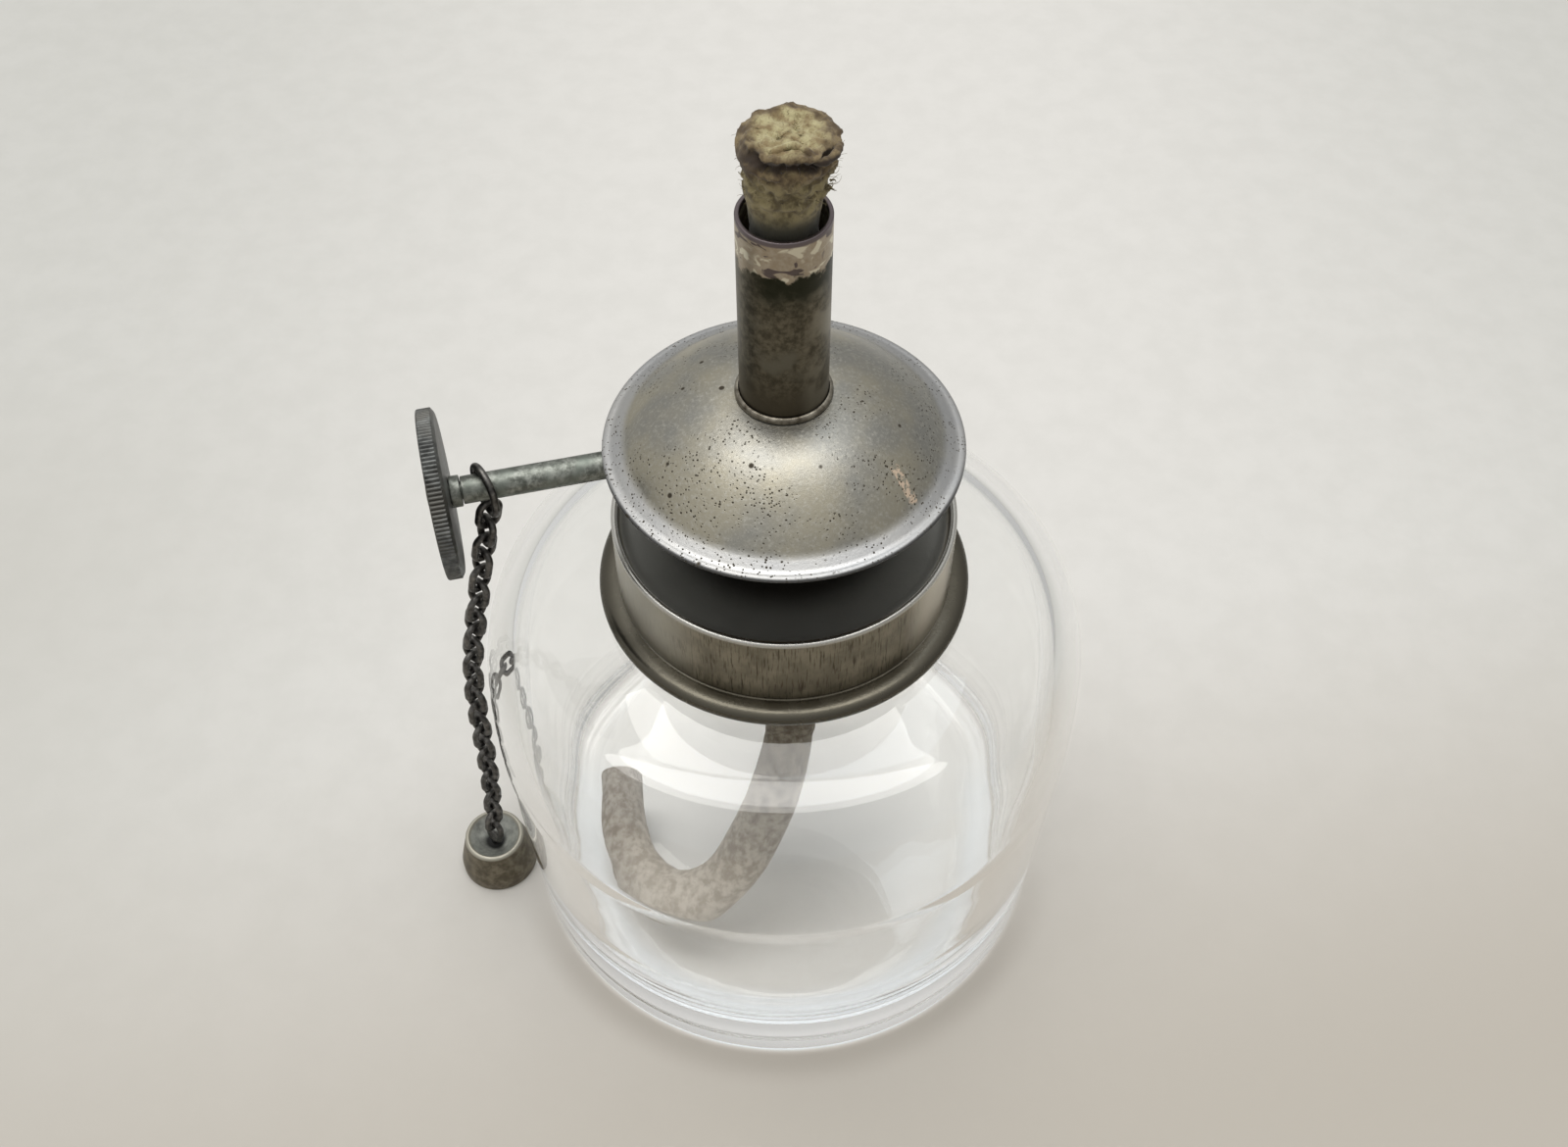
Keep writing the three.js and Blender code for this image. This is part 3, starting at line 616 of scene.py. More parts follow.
def make_world():
    """A soft room: a bright ceiling, dimmer walls, a little brighter on the left."""
    world = bpy.data.worlds.new("room")
    world.use_nodes = True
    bpy.context.scene.world = world
    room = Graph(world.node_tree)
    way = room.add("ShaderNodeTexCoord").outputs["Generated"]
    parts = room.add("ShaderNodeSeparateXYZ", {0: way}).outputs
    stops = [(height, [bright * tint for tint in ROOM_TINT]) for height, bright in ROOM_STOPS]
    colour = room.ramp(parts["Z"], *stops)
    side = room.add("ShaderNodeMapRange", {
        "Value": parts["X"], "From Min": -1, "From Max": 1,
        "To Min": ROOM_LEFT, "To Max": ROOM_RIGHT,
    })
    sky = room.tree.nodes["Background"]
    room.set(sky, "Color", colour)
    room.set(sky, "Strength", side.outputs["Result"])


def make_lights():
    for name, shape, place, target, size, power, colour in LIGHTS:
        data = bpy.data.lights.new(name, "AREA")
        data.shape = shape
        data.size, data.size_y = (s * MM for s in size)
        data.energy = power
        data.color = colour
        aim(add_object(name, data), place, target)


def glass_look():
    look = Look("clear_glass", (0.995, 0.998, 0.995), roughness=0.0)
    look.set(look.shader, "Transmission Weight", 1)
    look.set(look.shader, "IOR", GLASS_INDEX)
    trapped = look.add("ShaderNodeLightPath").outputs["Glossy Depth"]
    look.set(look.shader, "Alpha", look.maths("LESS_THAN", trapped, GLASS_BOUNCES))
    look.bump(look.noise(18, 1, 0.4, stretch=(1, 1, 0.6)), 0.12, 0.3)
    return look.material


def thread_rise(turn, height):
    """How far the neck's thread stands out at a place on the neck."""
    found = 0
    for whole in range(-1, 3):
        along = turn / TURN + whole
        if not 0 <= along <= THREAD_TURNS:
            continue
        away = abs(height - THREAD_LOW - THREAD_PITCH * along)
        flank = (THREAD_ROOT / 2 - away) / ((THREAD_ROOT - THREAD_CREST) / 2)
        fade = min(along, THREAD_TURNS - along, THREAD_FADE) / THREAD_FADE
        found = max(found, THREAD_DEPTH * clamp(flank) * fade)
    return found


def rippled(points, depth, length):
    """Shallow rings in the lower side, as moulded glass has them."""
    def ring(z):
        return math.sin(math.pi * clamp(z / RIPPLE_HEIGHT)) * (1 + math.cos(TURN * z / length)) / 2
    return [(r - depth * ring(z), z) for r, z in points]


def bottle_profile():
    rise = SHOULDER_HEIGHT - WIDEST_HEIGHT
    width = BOTTLE_RADIUS - SHOULDER_RADIUS
    inner = BOTTLE_RADIUS - BOTTLE_WALL
    inner_top = SHOULDER_HEIGHT - BOTTLE_WALL
    inner_rise = inner_top - WIDEST_HEIGHT
    fillet_end = BORE_RADIUS + BORE_FILLET
    heel = HEEL_RADIUS - BOTTLE_WALL
    neck_top = MOUTH_HEIGHT - MOUTH_ROUND
    profile = Outline([(0, PUSH_UP)])
    profile.line((BEARING_INNER - 1, PUSH_UP), 8)
    profile.curve((BEARING_INNER, 0), (BEARING_INNER + 1, 0))
    profile.line((HEEL_RADIUS - HEEL_ROUND, 0), 2)
    profile.curve((HEEL_RADIUS, 0), (HEEL_RADIUS, HEEL_ROUND), steps=12)
    side = line(profile[-1], (BOTTLE_RADIUS, WIDEST_HEIGHT), 80)
    profile += rippled(side, OUTER_RIPPLE, OUTER_RIPPLE_LENGTH)
    profile.curve(
        (BOTTLE_RADIUS, WIDEST_HEIGHT + RISE_SHARE * rise),
        (SHOULDER_RADIUS + REACH_SHARE * width, SHOULDER_HEIGHT - DIP_SHARE * rise),
        (SHOULDER_RADIUS, SHOULDER_HEIGHT),
        steps=40,
    )
    profile.line((NECK_RADIUS + NECK_FILLET, SHOULDER_HEIGHT), 2)
    profile.curve((NECK_RADIUS, SHOULDER_HEIGHT), (NECK_RADIUS, NECK_FOOT), steps=5)
    profile.line((NECK_RADIUS, neck_top), 36)
    profile.curve((NECK_RADIUS, MOUTH_HEIGHT), (NECK_RADIUS - MOUTH_ROUND, MOUTH_HEIGHT), steps=5)
    profile.line((BORE_RADIUS + MOUTH_ROUND, MOUTH_HEIGHT), 2)
    profile.curve((BORE_RADIUS, MOUTH_HEIGHT), (BORE_RADIUS, neck_top), steps=5)
    profile.line((BORE_RADIUS, inner_top + BORE_FILLET), 6)
    profile.curve((BORE_RADIUS, inner_top), (fillet_end, inner_top))
    reach = REACH_SHARE * (inner - fillet_end)
    profile.curve(
        (fillet_end + reach, inner_top - INNER_DIP_SHARE * inner_rise),
        (inner, WIDEST_HEIGHT + RISE_SHARE * inner_rise),
        (inner, WIDEST_HEIGHT),
        steps=40,
    )
    side = line(profile[-1], (heel, BASE_THICKNESS + INNER_HEEL), 64)
    profile += rippled(side, INNER_RIPPLE, INNER_RIPPLE_LENGTH)
    profile.curve((heel, BASE_THICKNESS), (heel - INNER_HEEL, BASE_THICKNESS), steps=24)
    profile.line((0, BASE_THICKNESS + BASE_CROWN), 8)
    return profile


def bottle():
    points, faces = revolve(bottle_profile(), 240)
    shaped = []
    for x, y, z in points:
        radius = math.hypot(x, y)
        if abs(radius - NECK_RADIUS) < 0.01 and z > NECK_FOOT:
            grown = 1 + thread_rise(math.atan2(y, x) % TURN, z) / radius
            x, y = x * grown, y * grown
        shaped.append((x, y, z))
    shape = (shaped, faces)
    piece = add_piece("bottle_glass", shape, glass_look(), "bottle", "glass_bottle")
    piece.visible_shadow = False


def collar_look():
    """Tarnished nickel with fine upright scratches, a duller plate in painted shade under the dish,
    a darker bead, a worn bright rim, and painted highlights on the wall's right front and left
    side.
    """
    look = Look("collar_plate", (0.3, 0.27, 0.24), metallic=1.0, roughness=0.4)
    radius, turn, height = look.around()
    sides = (look.times(turn, COLLAR_RADIUS * MM), look.times(radius, MM), look.times(height, MM))
    unrolled = look.add("ShaderNodeCombineXYZ", enumerate(sides)).outputs[0]
    scratches = look.noise(0.22, 3, 0.6, stretch=(1, 1, 14), place=unrolled)
    patches = look.noise(3, 4, 0.6)
    wall = look.blend(patches, 0.35, 0.7, (0.19, 0.168, 0.125), (0.29, 0.26, 0.195))
    wall = look.blend(scratches, 0.5, 0.68, wall, (0.085, 0.072, 0.05))
    inside = look.between(radius, 19.3, 18.6)
    x, y, _ = look.parts()
    # Painted highlight: a lighter patch on the wall's right front, where a bright reflection falls.
    bright = look.within((x, 13, 16.5), (x, 19.6, 18), (y, 0, -4))
    wall = look.mix(bright, wall, (0.52, 0.48, 0.4))
    # Painted highlight: the wall's left side is painted lighter.
    wall = look.mix(look.times(look.between(x, -8, -15), 0.7), wall, (0.47, 0.45, 0.39))
    wall = look.mix(inside, wall, (0.2, 0.2, 0.185))
    # Painted shade: the plate darkens towards its middle, under the dish.
    wall = look.blend(radius, 15.5, 11, wall, (0.035, 0.034, 0.03))
    bead = look.between(height, 61.2, 60.5)
    wall = look.mix(bead, wall, (0.1, 0.092, 0.073))
    rim = look.between(height, 70.55, 70.95)
    look.paint(look.mix(rim, wall, (0.5, 0.49, 0.46)))
    worn = look.span(patches, 0.3, 0.52)
    worn = look.minus(worn, look.times(bead, 0.16))
    look.rough(look.minus(worn, look.times(rim, 0.16)))
    look.set(look.shader, "Metallic", look.minus(1, look.times(inside, 0.3)))
    look.bump(scratches, 0.02, 0.5)
    look.bump(patches, 0.12, 0.25)
    return look.material


def collar():
    bead = COLLAR_RADIUS + BEAD_REACH
    top = COLLAR_BASE + BEAD_HEIGHT
    groove = COLLAR_RADIUS - GROOVE_DEPTH
    inner = COLLAR_RADIUS - COLLAR_SHEET
    roll = COLLAR_RADIUS - RIM_ROLL
    rim_side = RIM_HEIGHT - RIM_ROLL / 2
    under = PLATE_HEIGHT - COLLAR_SHEET
    profile = Outline([(inner, COLLAR_BASE + COLLAR_SHEET), (COLLAR_RADIUS, COLLAR_BASE)])
    profile.curve((bead, COLLAR_BASE), (bead, COLLAR_BASE + BEAD_HEIGHT / 2))
    profile.curve((bead, top), (COLLAR_RADIUS, top))
    profile.curve((groove, top), (groove, top + GROOVE_HEIGHT / 2), steps=4)
    profile.curve((groove, top + GROOVE_HEIGHT), (COLLAR_RADIUS, top + GROOVE_END), steps=4)
    profile.line((COLLAR_RADIUS, rim_side), 6)
    profile.curve((COLLAR_RADIUS, RIM_HEIGHT), (COLLAR_RADIUS - RIM_ROLL / 2, RIM_HEIGHT))
    profile.curve((roll, RIM_HEIGHT), (roll, rim_side))
    profile.curve((roll, PLATE_HEIGHT), (PLATE_FLAT, PLATE_HEIGHT), steps=10)
    profile.line((TUBE_FIT, PLATE_HEIGHT), 8)
    profile.append((TUBE_FIT, under))
    profile.line((inner - COLLAR_SHEET, under), 4)
    profile.append((inner, under - COLLAR_SHEET))
    shape = revolve(profile)
    add_piece("collar_metal", shape, collar_look(), "head", "collar_shell")


def dish_look():
    """Aged satin nickel: warm in places, pitted dark, densest low on the left and at the lip, with
    painted shade on the front of the lip and a painted warm reflection of a lamp on the dome.
    """
    look = Look("nickel_plate", (0.6, 0.58, 0.54), metallic=1.0, roughness=0.36)
    radius = look.around()[0]
    broad = look.noise(9, 3, 0.55)
    fine = look.noise(0.42, 5, 0.7)
    colour = look.blend(broad, 0.35, 0.65, (0.285, 0.28, 0.258), (0.375, 0.347, 0.275))
    colour = look.blend(fine, 0.46, 0.78, colour, (0.47, 0.455, 0.405))
    edge = look.between(radius, 17, 18.2)
    colour = look.mix(look.times(edge, 0.7), colour, (0.49, 0.495, 0.51))
    x, y, _ = look.parts()
    # Painted shade: the front of the lip is painted near black.
    lip = look.within((radius, 19.55, 19.85), (y, 0, -12))
    colour = look.mix(look.times(lip, 0.9), colour, (0.06, 0.06, 0.06))
    dust = look.cells(0.42)
    uneven = look.times(look.minus(look.noise(0.5, 2, 0.5), 0.5), 0.75)
    dotted = look.between(look.plus(dust, uneven), 0.27, 0.13)
    crowd = look.noise(5.5, 2, 0.5)
    low_left = look.within((x, 5, -9), (y, 0, -9))
    crowd = look.plus(crowd, look.times(low_left, 0.17))
    crowded = look.between(look.plus(crowd, look.times(edge, 0.1)), 0.47, 0.66)
    pits = look.times(dotted, crowded)
    spots = look.between(look.cells(4.6), 0.085, 0.05)
    pits = look.maths("MAXIMUM", pits, spots)
    # Painted reflection: a warm lamp's glint, in a ragged stroke on the dome, broken up by flakes.
    worn = look.scratch(DISH_PAINTED_GLINT, look.noise(0.8, 4, 0.6))
    flakes = look.noise(0.4, 3, 0.6, stretch=(1, 1.6, 1))
    worn = look.times(worn, look.between(flakes, 0.4, 0.56))
    colour = look.mix(worn, colour, (0.86, 0.68, 0.52))
    look.paint(look.mix(pits, colour, (0.07, 0.06, 0.045)))
    rough = look.span(fine, 0.29, 0.5)
    look.rough(look.plus(rough, look.times(pits, 0.25)))
    look.bump(fine, 0.045, 0.5)
    look.bump(look.minus(1, pits), 0.04, 0.6)
    return look.material


def dome_points(drop):
    """The dome's line from the tube out to the flat band, lowered by drop."""
    width = BAND_RADIUS - TUBE_FIT
    band = DISH_RIM + BAND_RISE
    fall = DISH_CROWN - band
    points = Outline([(TUBE_FIT, DISH_CROWN - drop)])
    points.curve(
        (TUBE_FIT + CROWN_REACH * width, DISH_CROWN - drop),
        (TUBE_FIT + SLOPE_REACH * width, DISH_CROWN - SLOPE_FALL * fall - drop),
        (BAND_RADIUS, band - drop),
        steps=36,
    )
    return points


def dish():
    lip = DISH_RADIUS - LIP_WIDTH
    bottom = DISH_RIM - LIP_THICKNESS
    profile = dome_points(DISH_SHEET)
    profile.line((lip, DISH_RIM - DISH_SHEET), 3)
    profile.append((lip, bottom))
    profile.curve((DISH_RADIUS, bottom), (DISH_RADIUS, DISH_RIM - LIP_THICKNESS / 2))
    profile.curve((DISH_RADIUS, DISH_RIM), (lip, DISH_RIM))
    profile += line(profile[-1], (BAND_RADIUS, DISH_RIM + BAND_RISE), 4)[:-1]
    profile += dome_points(0)[::-1]
    shape = revolve(profile)
    add_piece("dish_metal", shape, dish_look(), "head", "drip_dish")


def stained_look(name, colour, metallic, roughness, grain, stops, shine=None, bump=None):
    """One noise of that grain gives the colour, and the roughness and bumps where they are set."""
    look = Look(name, colour, metallic, roughness)
    stain = look.noise(*grain)
    look.paint(look.ramp(stain, *stops))
    if shine:
        look.rough(look.span(stain, *shine))
    if bump:
        look.bump(stain, *bump)
    return look.material


def ferrule():
    top = FERRULE_LOW + FERRULE_HEIGHT
    profile = Outline([(TUBE_FIT, FERRULE_LOW), (FERRULE_RADIUS, FERRULE_LOW)])
    profile.curve((FERRULE_RADIUS, top), (TUBE_FIT, top))
    look = stained_look(
        "ferrule_metal", (0.5, 0.46, 0.4), 1, 0.35, (1.2, 4, 0.6),
        [(0.35, (0.1, 0.085, 0.065)), (0.7, (0.4, 0.37, 0.31))], (0.25, 0.5),
    )
    shape = revolve(profile, 96)
    add_piece("ferrule_metal", shape, look, "head", "tube_ferrule")


def tube_look():
    """Heat-browned tube: a bare silvery band at its top, a ragged dark stain, grey brown below, and
    a painted highlight down its right side.
    """
    look = Look("tube_bronze", (0.07, 0.06, 0.045), metallic=1.0, roughness=0.42)
    height = look.around()[2]
    x = look.parts()[0]
    mottle = look.noise(0.8, 5, 0.7)
    broad = look.noise(3.6, 3, 0.5)
    smear = look.noise(2.4, 2, 0.45, stretch=(1, 1, 0.6), distortion=0.8)
    ragged = look.noise(1.7, 4, 0.55)
    brown = look.blend(mottle, 0.35, 0.68, (0.068, 0.06, 0.042), (0.17, 0.152, 0.112))
    brown = look.blend(broad, 0.5, 0.72, brown, (0.15, 0.14, 0.11))
    brown = look.blend(height, 97, 91, brown, (0.1, 0.085, 0.06))
    # Painted highlight: a lighter band down the tube's right side.
    painted_side_highlight = look.within((x, 1.4, 3.2), (broad, 0.4, 0.56))
    brown = look.mix(look.times(painted_side_highlight, 0.6), brown, (0.26, 0.24, 0.19))
    wave = look.times(look.minus(ragged, 0.5), 4.2)
    edge = look.plus(height, wave)
    stain = look.within((edge, 104.2, 107.6), (x, -4.4, -1.5))
    brown = look.mix(look.times(stain, 0.9), brown, (0.016, 0.018, 0.01))
    bare = look.blend(mottle, 0.38, 0.62, (0.36, 0.3, 0.225), (0.43, 0.375, 0.3))
    bare = look.blend(smear, 0.56, 0.62, bare, (0.68, 0.64, 0.52))
    bare = look.blend(smear, 0.4, 0.36, bare, (0.13, 0.105, 0.1))
    clean = look.between(edge, 108.7, 109.3)
    colour = look.mix(clean, brown, bare)
    look.paint(look.blend(height, 112.75, 113, colour, (0.16, 0.135, 0.14)))
    look.rough(look.span(mottle, 0.3, 0.52))
    look.bump(mottle, 0.03, 0.3)
    return look.material


def carve(piece, cutter_shape):
    """Cuts a shape out of a piece and bakes the result into its mesh."""
    cutter = add_object("cutter", make_mesh("cutter", cutter_shape))
    cut = piece.modifiers.new("cut", "BOOLEAN")
    cut.operation = "DIFFERENCE"
    cut.object = cutter
    cut.solver = "EXACT"
    bpy.context.view_layer.update()
    graph = bpy.context.evaluated_depsgraph_get()
    result = bpy.data.meshes.new_from_object(piece.evaluated_get(graph))
    piece.modifiers.remove(cut)
    piece.data = result
    bpy.data.objects.remove(cutter)


def on_shaft(shape):
    """Moves a shape that is turned about Z to its place along the shaft."""
    angle = math.radians(SHAFT_ANGLE)
    out = Vector((-math.cos(angle), -math.sin(angle), 0))
    up = Vector((0, 0, 1))
    basis = Matrix((up, out.cross(up), out)).transposed().to_4x4()
    return moved(shape, Matrix.Translation(Vector(SHAFT_FOOT)) @ basis)


def box_shape(a, b, c):
    """A box about the origin that reaches a, b and c both ways along the axes."""
    points = [(x, y, z) for x in (-a, a) for y in (-b, b) for z in (-c, c)]
    faces = [(0, 1, 3, 2), (4, 6, 7, 5), (0, 4, 5, 1), (2, 3, 7, 6), (0, 2, 6, 4), (1, 5, 7, 3)]
    return points, faces


def tube():
    inner = TUBE_RADIUS - TUBE_WALL
    corners = [(inner, TUBE_BOTTOM, 0), (TUBE_RADIUS, TUBE_BOTTOM, 0)]
    corners += [(TUBE_RADIUS, TUBE_TOP, TUBE_LIP), (inner, TUBE_TOP, TUBE_LIP)]
    shape = turned(corners, 128)
    piece = add_piece("tube_metal", shape, tube_look(), "head", "wick_tube")
    carve(piece, on_shaft(box_shape(FEED_REACH, FEED_REACH, TUBE_RADIUS + 1)))


def dark_look():
    """Dark stained brass, of the parts in the dish's shadow."""
    return stained_look(
        "dark_brass", (0.12, 0.09, 0.065), 1, 0.5, (1.5, 4, 0.6),
        [(0.3, (0.05, 0.04, 0.03)), (0.7, (0.17, 0.13, 0.09))], (0.35, 0.6),
    )


def barrel(look):
    inner = BARREL_RADIUS - BARREL_WALL
    foot = BARREL_RADIUS + BARREL_FOOT
    foot_top = BARREL_LOW + BARREL_FOOT_THICKNESS
    shape = turned([
        (inner, BARREL_LOW, 0), (foot, BARREL_LOW, 0.1), (foot, foot_top, 0.2),
        (BARREL_RADIUS, foot_top, 0.3), (BARREL_RADIUS, BARREL_HIGH, 0), (inner, BARREL_HIGH, 0),
    ], 96)
    piece = add_piece("barrel_metal", shape, look, "head", "burner_barrel")
    end = BARREL_RADIUS + 2
    bore = revolve([(0, -end), (BARREL_BORE, -end), (BARREL_BORE, end), (0, end)], 48)
    carve(piece, on_shaft(bore))


def mottled_look(name, colour, mottle, broad, dull, light, patch, shine, depth):
    """Grey metal from dull to light in fine mottles, with broad patches of a third colour."""
    look = Look(name, colour, metallic=1.0, roughness=0.5)
    mottle = look.noise(*mottle)
    broad = look.noise(broad, 2, 0.5)
    colour = look.blend(mottle, 0.35, 0.7, dull, light)
    look.paint(look.blend(broad, 0.5, patch[0], colour, patch[1]))
    look.rough(look.span(mottle, *shine))
    look.bump(mottle, depth, 0.5)
    return look.material


def shaft_look():
    """Dull grey steel with a green cast."""
    return mottled_look(
        "shaft_steel", (0.3, 0.31, 0.28), (1, 5, 0.7), 3.5,
        (0.12, 0.128, 0.112), (0.37, 0.385, 0.35), (0.7, (0.19, 0.21, 0.185)), (0.38, 0.62), 0.05,
    )


def shaft(look):
    end = WHEEL_START + WHEEL_THICKNESS + SHAFT_TAIL
    seat = HUB_START - SEAT_GAP
    shape = turned([
        (0, SHAFT_START, 0), (JOURNAL_RADIUS, SHAFT_START, 0.15), (JOURNAL_RADIUS, JOURNAL_END, 0),
        (SHAFT_RADIUS, JOURNAL_END, 0.1), (SHAFT_RADIUS, seat, 0.12),
        (JOURNAL_RADIUS, seat, 0), (JOURNAL_RADIUS, end, 0), (0, end, 0),
    ], 64)
    add_piece("shaft_metal", on_shaft(shape), look, "knob", "feed_shaft")


def hub(look):
    bore = JOURNAL_RADIUS + SEAT_GAP
    end = WHEEL_START - HUB_GAP
    corners = [(bore, HUB_START, 0), (HUB_RADIUS, HUB_START, 0.12)]
    corners += [(HUB_RADIUS, end, 0.12), (bore, end, 0)]
    shape = turned(corners, 64)
    add_piece("hub_metal", on_shaft(shape), look, "knob", "knob_hub")


def wheel_look():
    """Dark mottled zinc grey."""
    return mottled_look(
        "wheel_zinc", (0.22, 0.225, 0.23), (1.4, 5, 0.65), 5,
        (0.082, 0.084, 0.082), (0.21, 0.216, 0.21), (0.72, (0.11, 0.107, 0.098)),
        (0.36, 0.62), 0.06,
    )


def wheel():
    low = WHEEL_MIDDLE - WHEEL_THICKNESS / 2
    high = WHEEL_MIDDLE + WHEEL_THICKNESS / 2
    bevel = low + WHEEL_BEVEL
    points, faces = turned([
        (WHEEL_BORE, low, 0), (WHEEL_RADIUS - 0.55, low, 0.2),
        (WHEEL_RADIUS - 0.1, bevel, 0.06), (WHEEL_RADIUS, bevel + 0.04, 0.05),
        (WHEEL_RADIUS, high, 0.25), (WHEEL_BORE, high, 0),
    ], KNURL_TEETH * 8, 5)
    shaped = []
    for x, y, z in points:
        radius = math.hypot(x, y)
        band = clamp((z - low - WHEEL_BEVEL) / 0.05) * clamp((radius - WHEEL_RADIUS + 0.4) / 0.3)
        wave = 0.5 - 0.5 * math.cos(KNURL_TEETH * math.atan2(y, x))
        less = KNURL_DEPTH * band * wave ** 2 / radius
        shaped.append((x * (1 - less), y * (1 - less), z))
    shape = on_shaft((shaped, faces))
    add_piece("wheel_metal", shape, wheel_look(), "knob", "thumb_wheel", 50)


def rivet(look):
    start = WHEEL_MIDDLE + WHEEL_THICKNESS / 2 + RIVET_GAP
    top = start + RIVET_HEIGHT
    profile = Outline([(0, start)])
    profile.line((RIVET_RADIUS, start), 3)
    profile.curve((RIVET_RADIUS, top), (0, top), steps=10)
    shape = on_shaft(revolve(profile, 64))
    add_piece("rivet_metal", shape, look, "knob", "knob_rivet")


def chain_look():
    stops = [(0.3, (0.045, 0.043, 0.04)), (0.55, (0.13, 0.125, 0.118)), (0.75, (0.25, 0.24, 0.22))]
    return stained_look(
        "chain_gunmetal", (0.12, 0.115, 0.11), 1, 0.45, (0.8, 4, 0.6), stops,
        (0.3, 0.55), (0.03, 0.4),
    )


def oval(half_length, half_width, steps, gap):
    """The middle line of an oval link, from one side of its joint round to the other."""
    straight = half_length - half_width
    half = 2 * straight + math.pi * half_width
    points = []
    for k in range(steps + 1):
        s = (gap / 2 + (2 * half - gap) * k / steps + straight) % (2 * half)
        sign = 1 if s < half else -1
        s %= half
        if s < 2 * straight:
            x, y = s - straight, -half_width
        else:
            turn = (s - 2 * straight) / half_width - math.pi / 2
            x, y = straight + half_width * math.cos(turn), half_width * math.sin(turn)
        points.append((sign * x, sign * y, 0))
    return points


def node_axes(name):
    """The place of a flat oval node, as a matrix, and its half sizes, in millimetres."""
    cloud = np.array([v.co for v in frame["nodes"][name].data.vertices], float) / MM
    middle = (cloud.max(0) + cloud.min(0)) / 2
    axes = np.linalg.svd(cloud - cloud.mean(0), full_matrices=False)[2]
    spread = (cloud - middle) @ axes.T
    middle = middle + axes.T @ ((spread.max(0) + spread.min(0)) / 2)
    halves = (spread.max(0) - spread.min(0)) / 2
    matrix = Matrix([axes[0], axes[1], np.cross(axes[0], axes[1])]).transposed().to_4x4()
    return Matrix.Translation(Vector(middle)) @ matrix, halves


def add_link(name, node, look, body, steps, gap, sides):
    """A bent wire in the place of a link's node."""
    place, halves = node_axes(node)
    path = oval(halves[0] - WIRE_RADIUS, halves[1] - WIRE_RADIUS, steps, gap)
    shape = moved(sweep(path, WIRE_RADIUS, sides), place)
    add_piece(name, shape, look, body, node, 50)


def chain(look):
    add_link("hook_wire", "chain_hook", look, "chain_upper", 72, 0.1, 16)
    bodies = {n: b for b, nodes in frame["record"]["behaviour"]["bodies"].items() for n in nodes}
    for node in sorted(n for n in frame["nodes"] if n.startswith("chain_link")):
        name = node.replace("chain_link", "link_wire")
        add_link(name, node, look, bodies[node], 48, 0.08, 14)


def snuffer_place():
    angle = math.radians(CHAIN_ANGLE)
    return Vector((-SNUFFER_DISTANCE * math.cos(angle), -SNUFFER_DISTANCE * math.sin(angle), 0))


def snuffer_look():
    """Dark bronze-grey side, worn light rim, pale dusty funnel with a dark middle."""
    look = Look("snuffer_metal", (0.2, 0.18, 0.16), metallic=0.8, roughness=0.5)
    radius, _, height = look.around(look.centred(snuffer_place()))
    mottle = look.noise(1.2, 5, 0.65)
    side = look.blend(mottle, 0.35, 0.7, (0.1, 0.086, 0.06), (0.22, 0.19, 0.138))
    funnel = look.blend(mottle, 0.3, 0.7, (0.3, 0.307, 0.285), (0.52, 0.53, 0.49))
    funnel = look.blend(radius, 1.9, 1.1, funnel, (0.04, 0.04, 0.04))
    inside = look.within((radius, 3.75, 3.4), (height, 4.4, 4.8))
    colour = look.mix(inside, side, funnel)
    rim = look.within((height, 6.3, 6.75), (radius, 3.3, 3.6))
    look.paint(look.mix(rim, colour, (0.4, 0.38, 0.32)))
    look.rough(look.span(mottle, 0.36, 0.6))
    look.bump(mottle, 0.05, 0.4)
    return look.material


def snuffer():
    mouth = SNUFFER_RADIUS - SNUFFER_WALL
    top = SNUFFER_TOP - SNUFFER_WALL
    under = FUNNEL_LOW - SNUFFER_WALL
    side = SNUFFER_HEIGHT - SNUFFER_ROUND
    profile = Outline([(mouth, 0)])
    profile.line((SNUFFER_RADIUS - 0.12, 0), 2)
    profile.curve((SNUFFER_RADIUS, 0), (SNUFFER_RADIUS, 0.15), steps=3)
    profile.line((SNUFFER_RADIUS, SNUFFER_SKIRT), 3)
    profile.line((SNUFFER_TOP, side), 6)
    profile.curve((SNUFFER_TOP, SNUFFER_HEIGHT), (top, SNUFFER_HEIGHT))
    profile.curve((top / 2, FUNNEL_LOW), (EYE_HOLE, FUNNEL_LOW), steps=14)
    profile.append((EYE_HOLE, under))
    profile.curve((top / 2, under), (top - SNUFFER_WALL, side - SNUFFER_WALL), steps=10)
    profile.line((mouth, SNUFFER_SKIRT), 4)
    shape = moved(revolve(profile, 128), Matrix.Translation(snuffer_place()))
    add_piece("snuffer_metal", shape, snuffer_look(), "snuffer", "snuffer_cap")


def eye(look):
    height = FUNNEL_LOW + EYE_RADIUS + EYE_WIRE + EYE_GAP
    turns = [TURN * k / 32 for k in range(32)]
    path = [(EYE_RADIUS * math.cos(t), 0, EYE_RADIUS * math.sin(t)) for t in turns]
    ring = moved(sweep(path, EYE_WIRE, closed=True), Matrix.Translation((0, 0, height)))
    under = FUNNEL_LOW - SNUFFER_WALL - EYE_GAP
    top = height - EYE_RADIUS
    shank = turned([
        (0, under - 0.4, 0), (SHANK_HEAD, under - 0.4, 0.1), (SHANK_HEAD, under, 0),
        (SHANK_RADIUS, under, 0), (SHANK_RADIUS, top, 0), (0, top, 0),
    ], 24)
    turn = Matrix.Rotation(math.radians(CHAIN_ANGLE - 45), 4, "Z")
    shape = moved(joined([ring, shank]), Matrix.Translation(snuffer_place()) @ turn)
    add_piece("eye_wire", shape, look, "snuffer", "snuffer_eye")


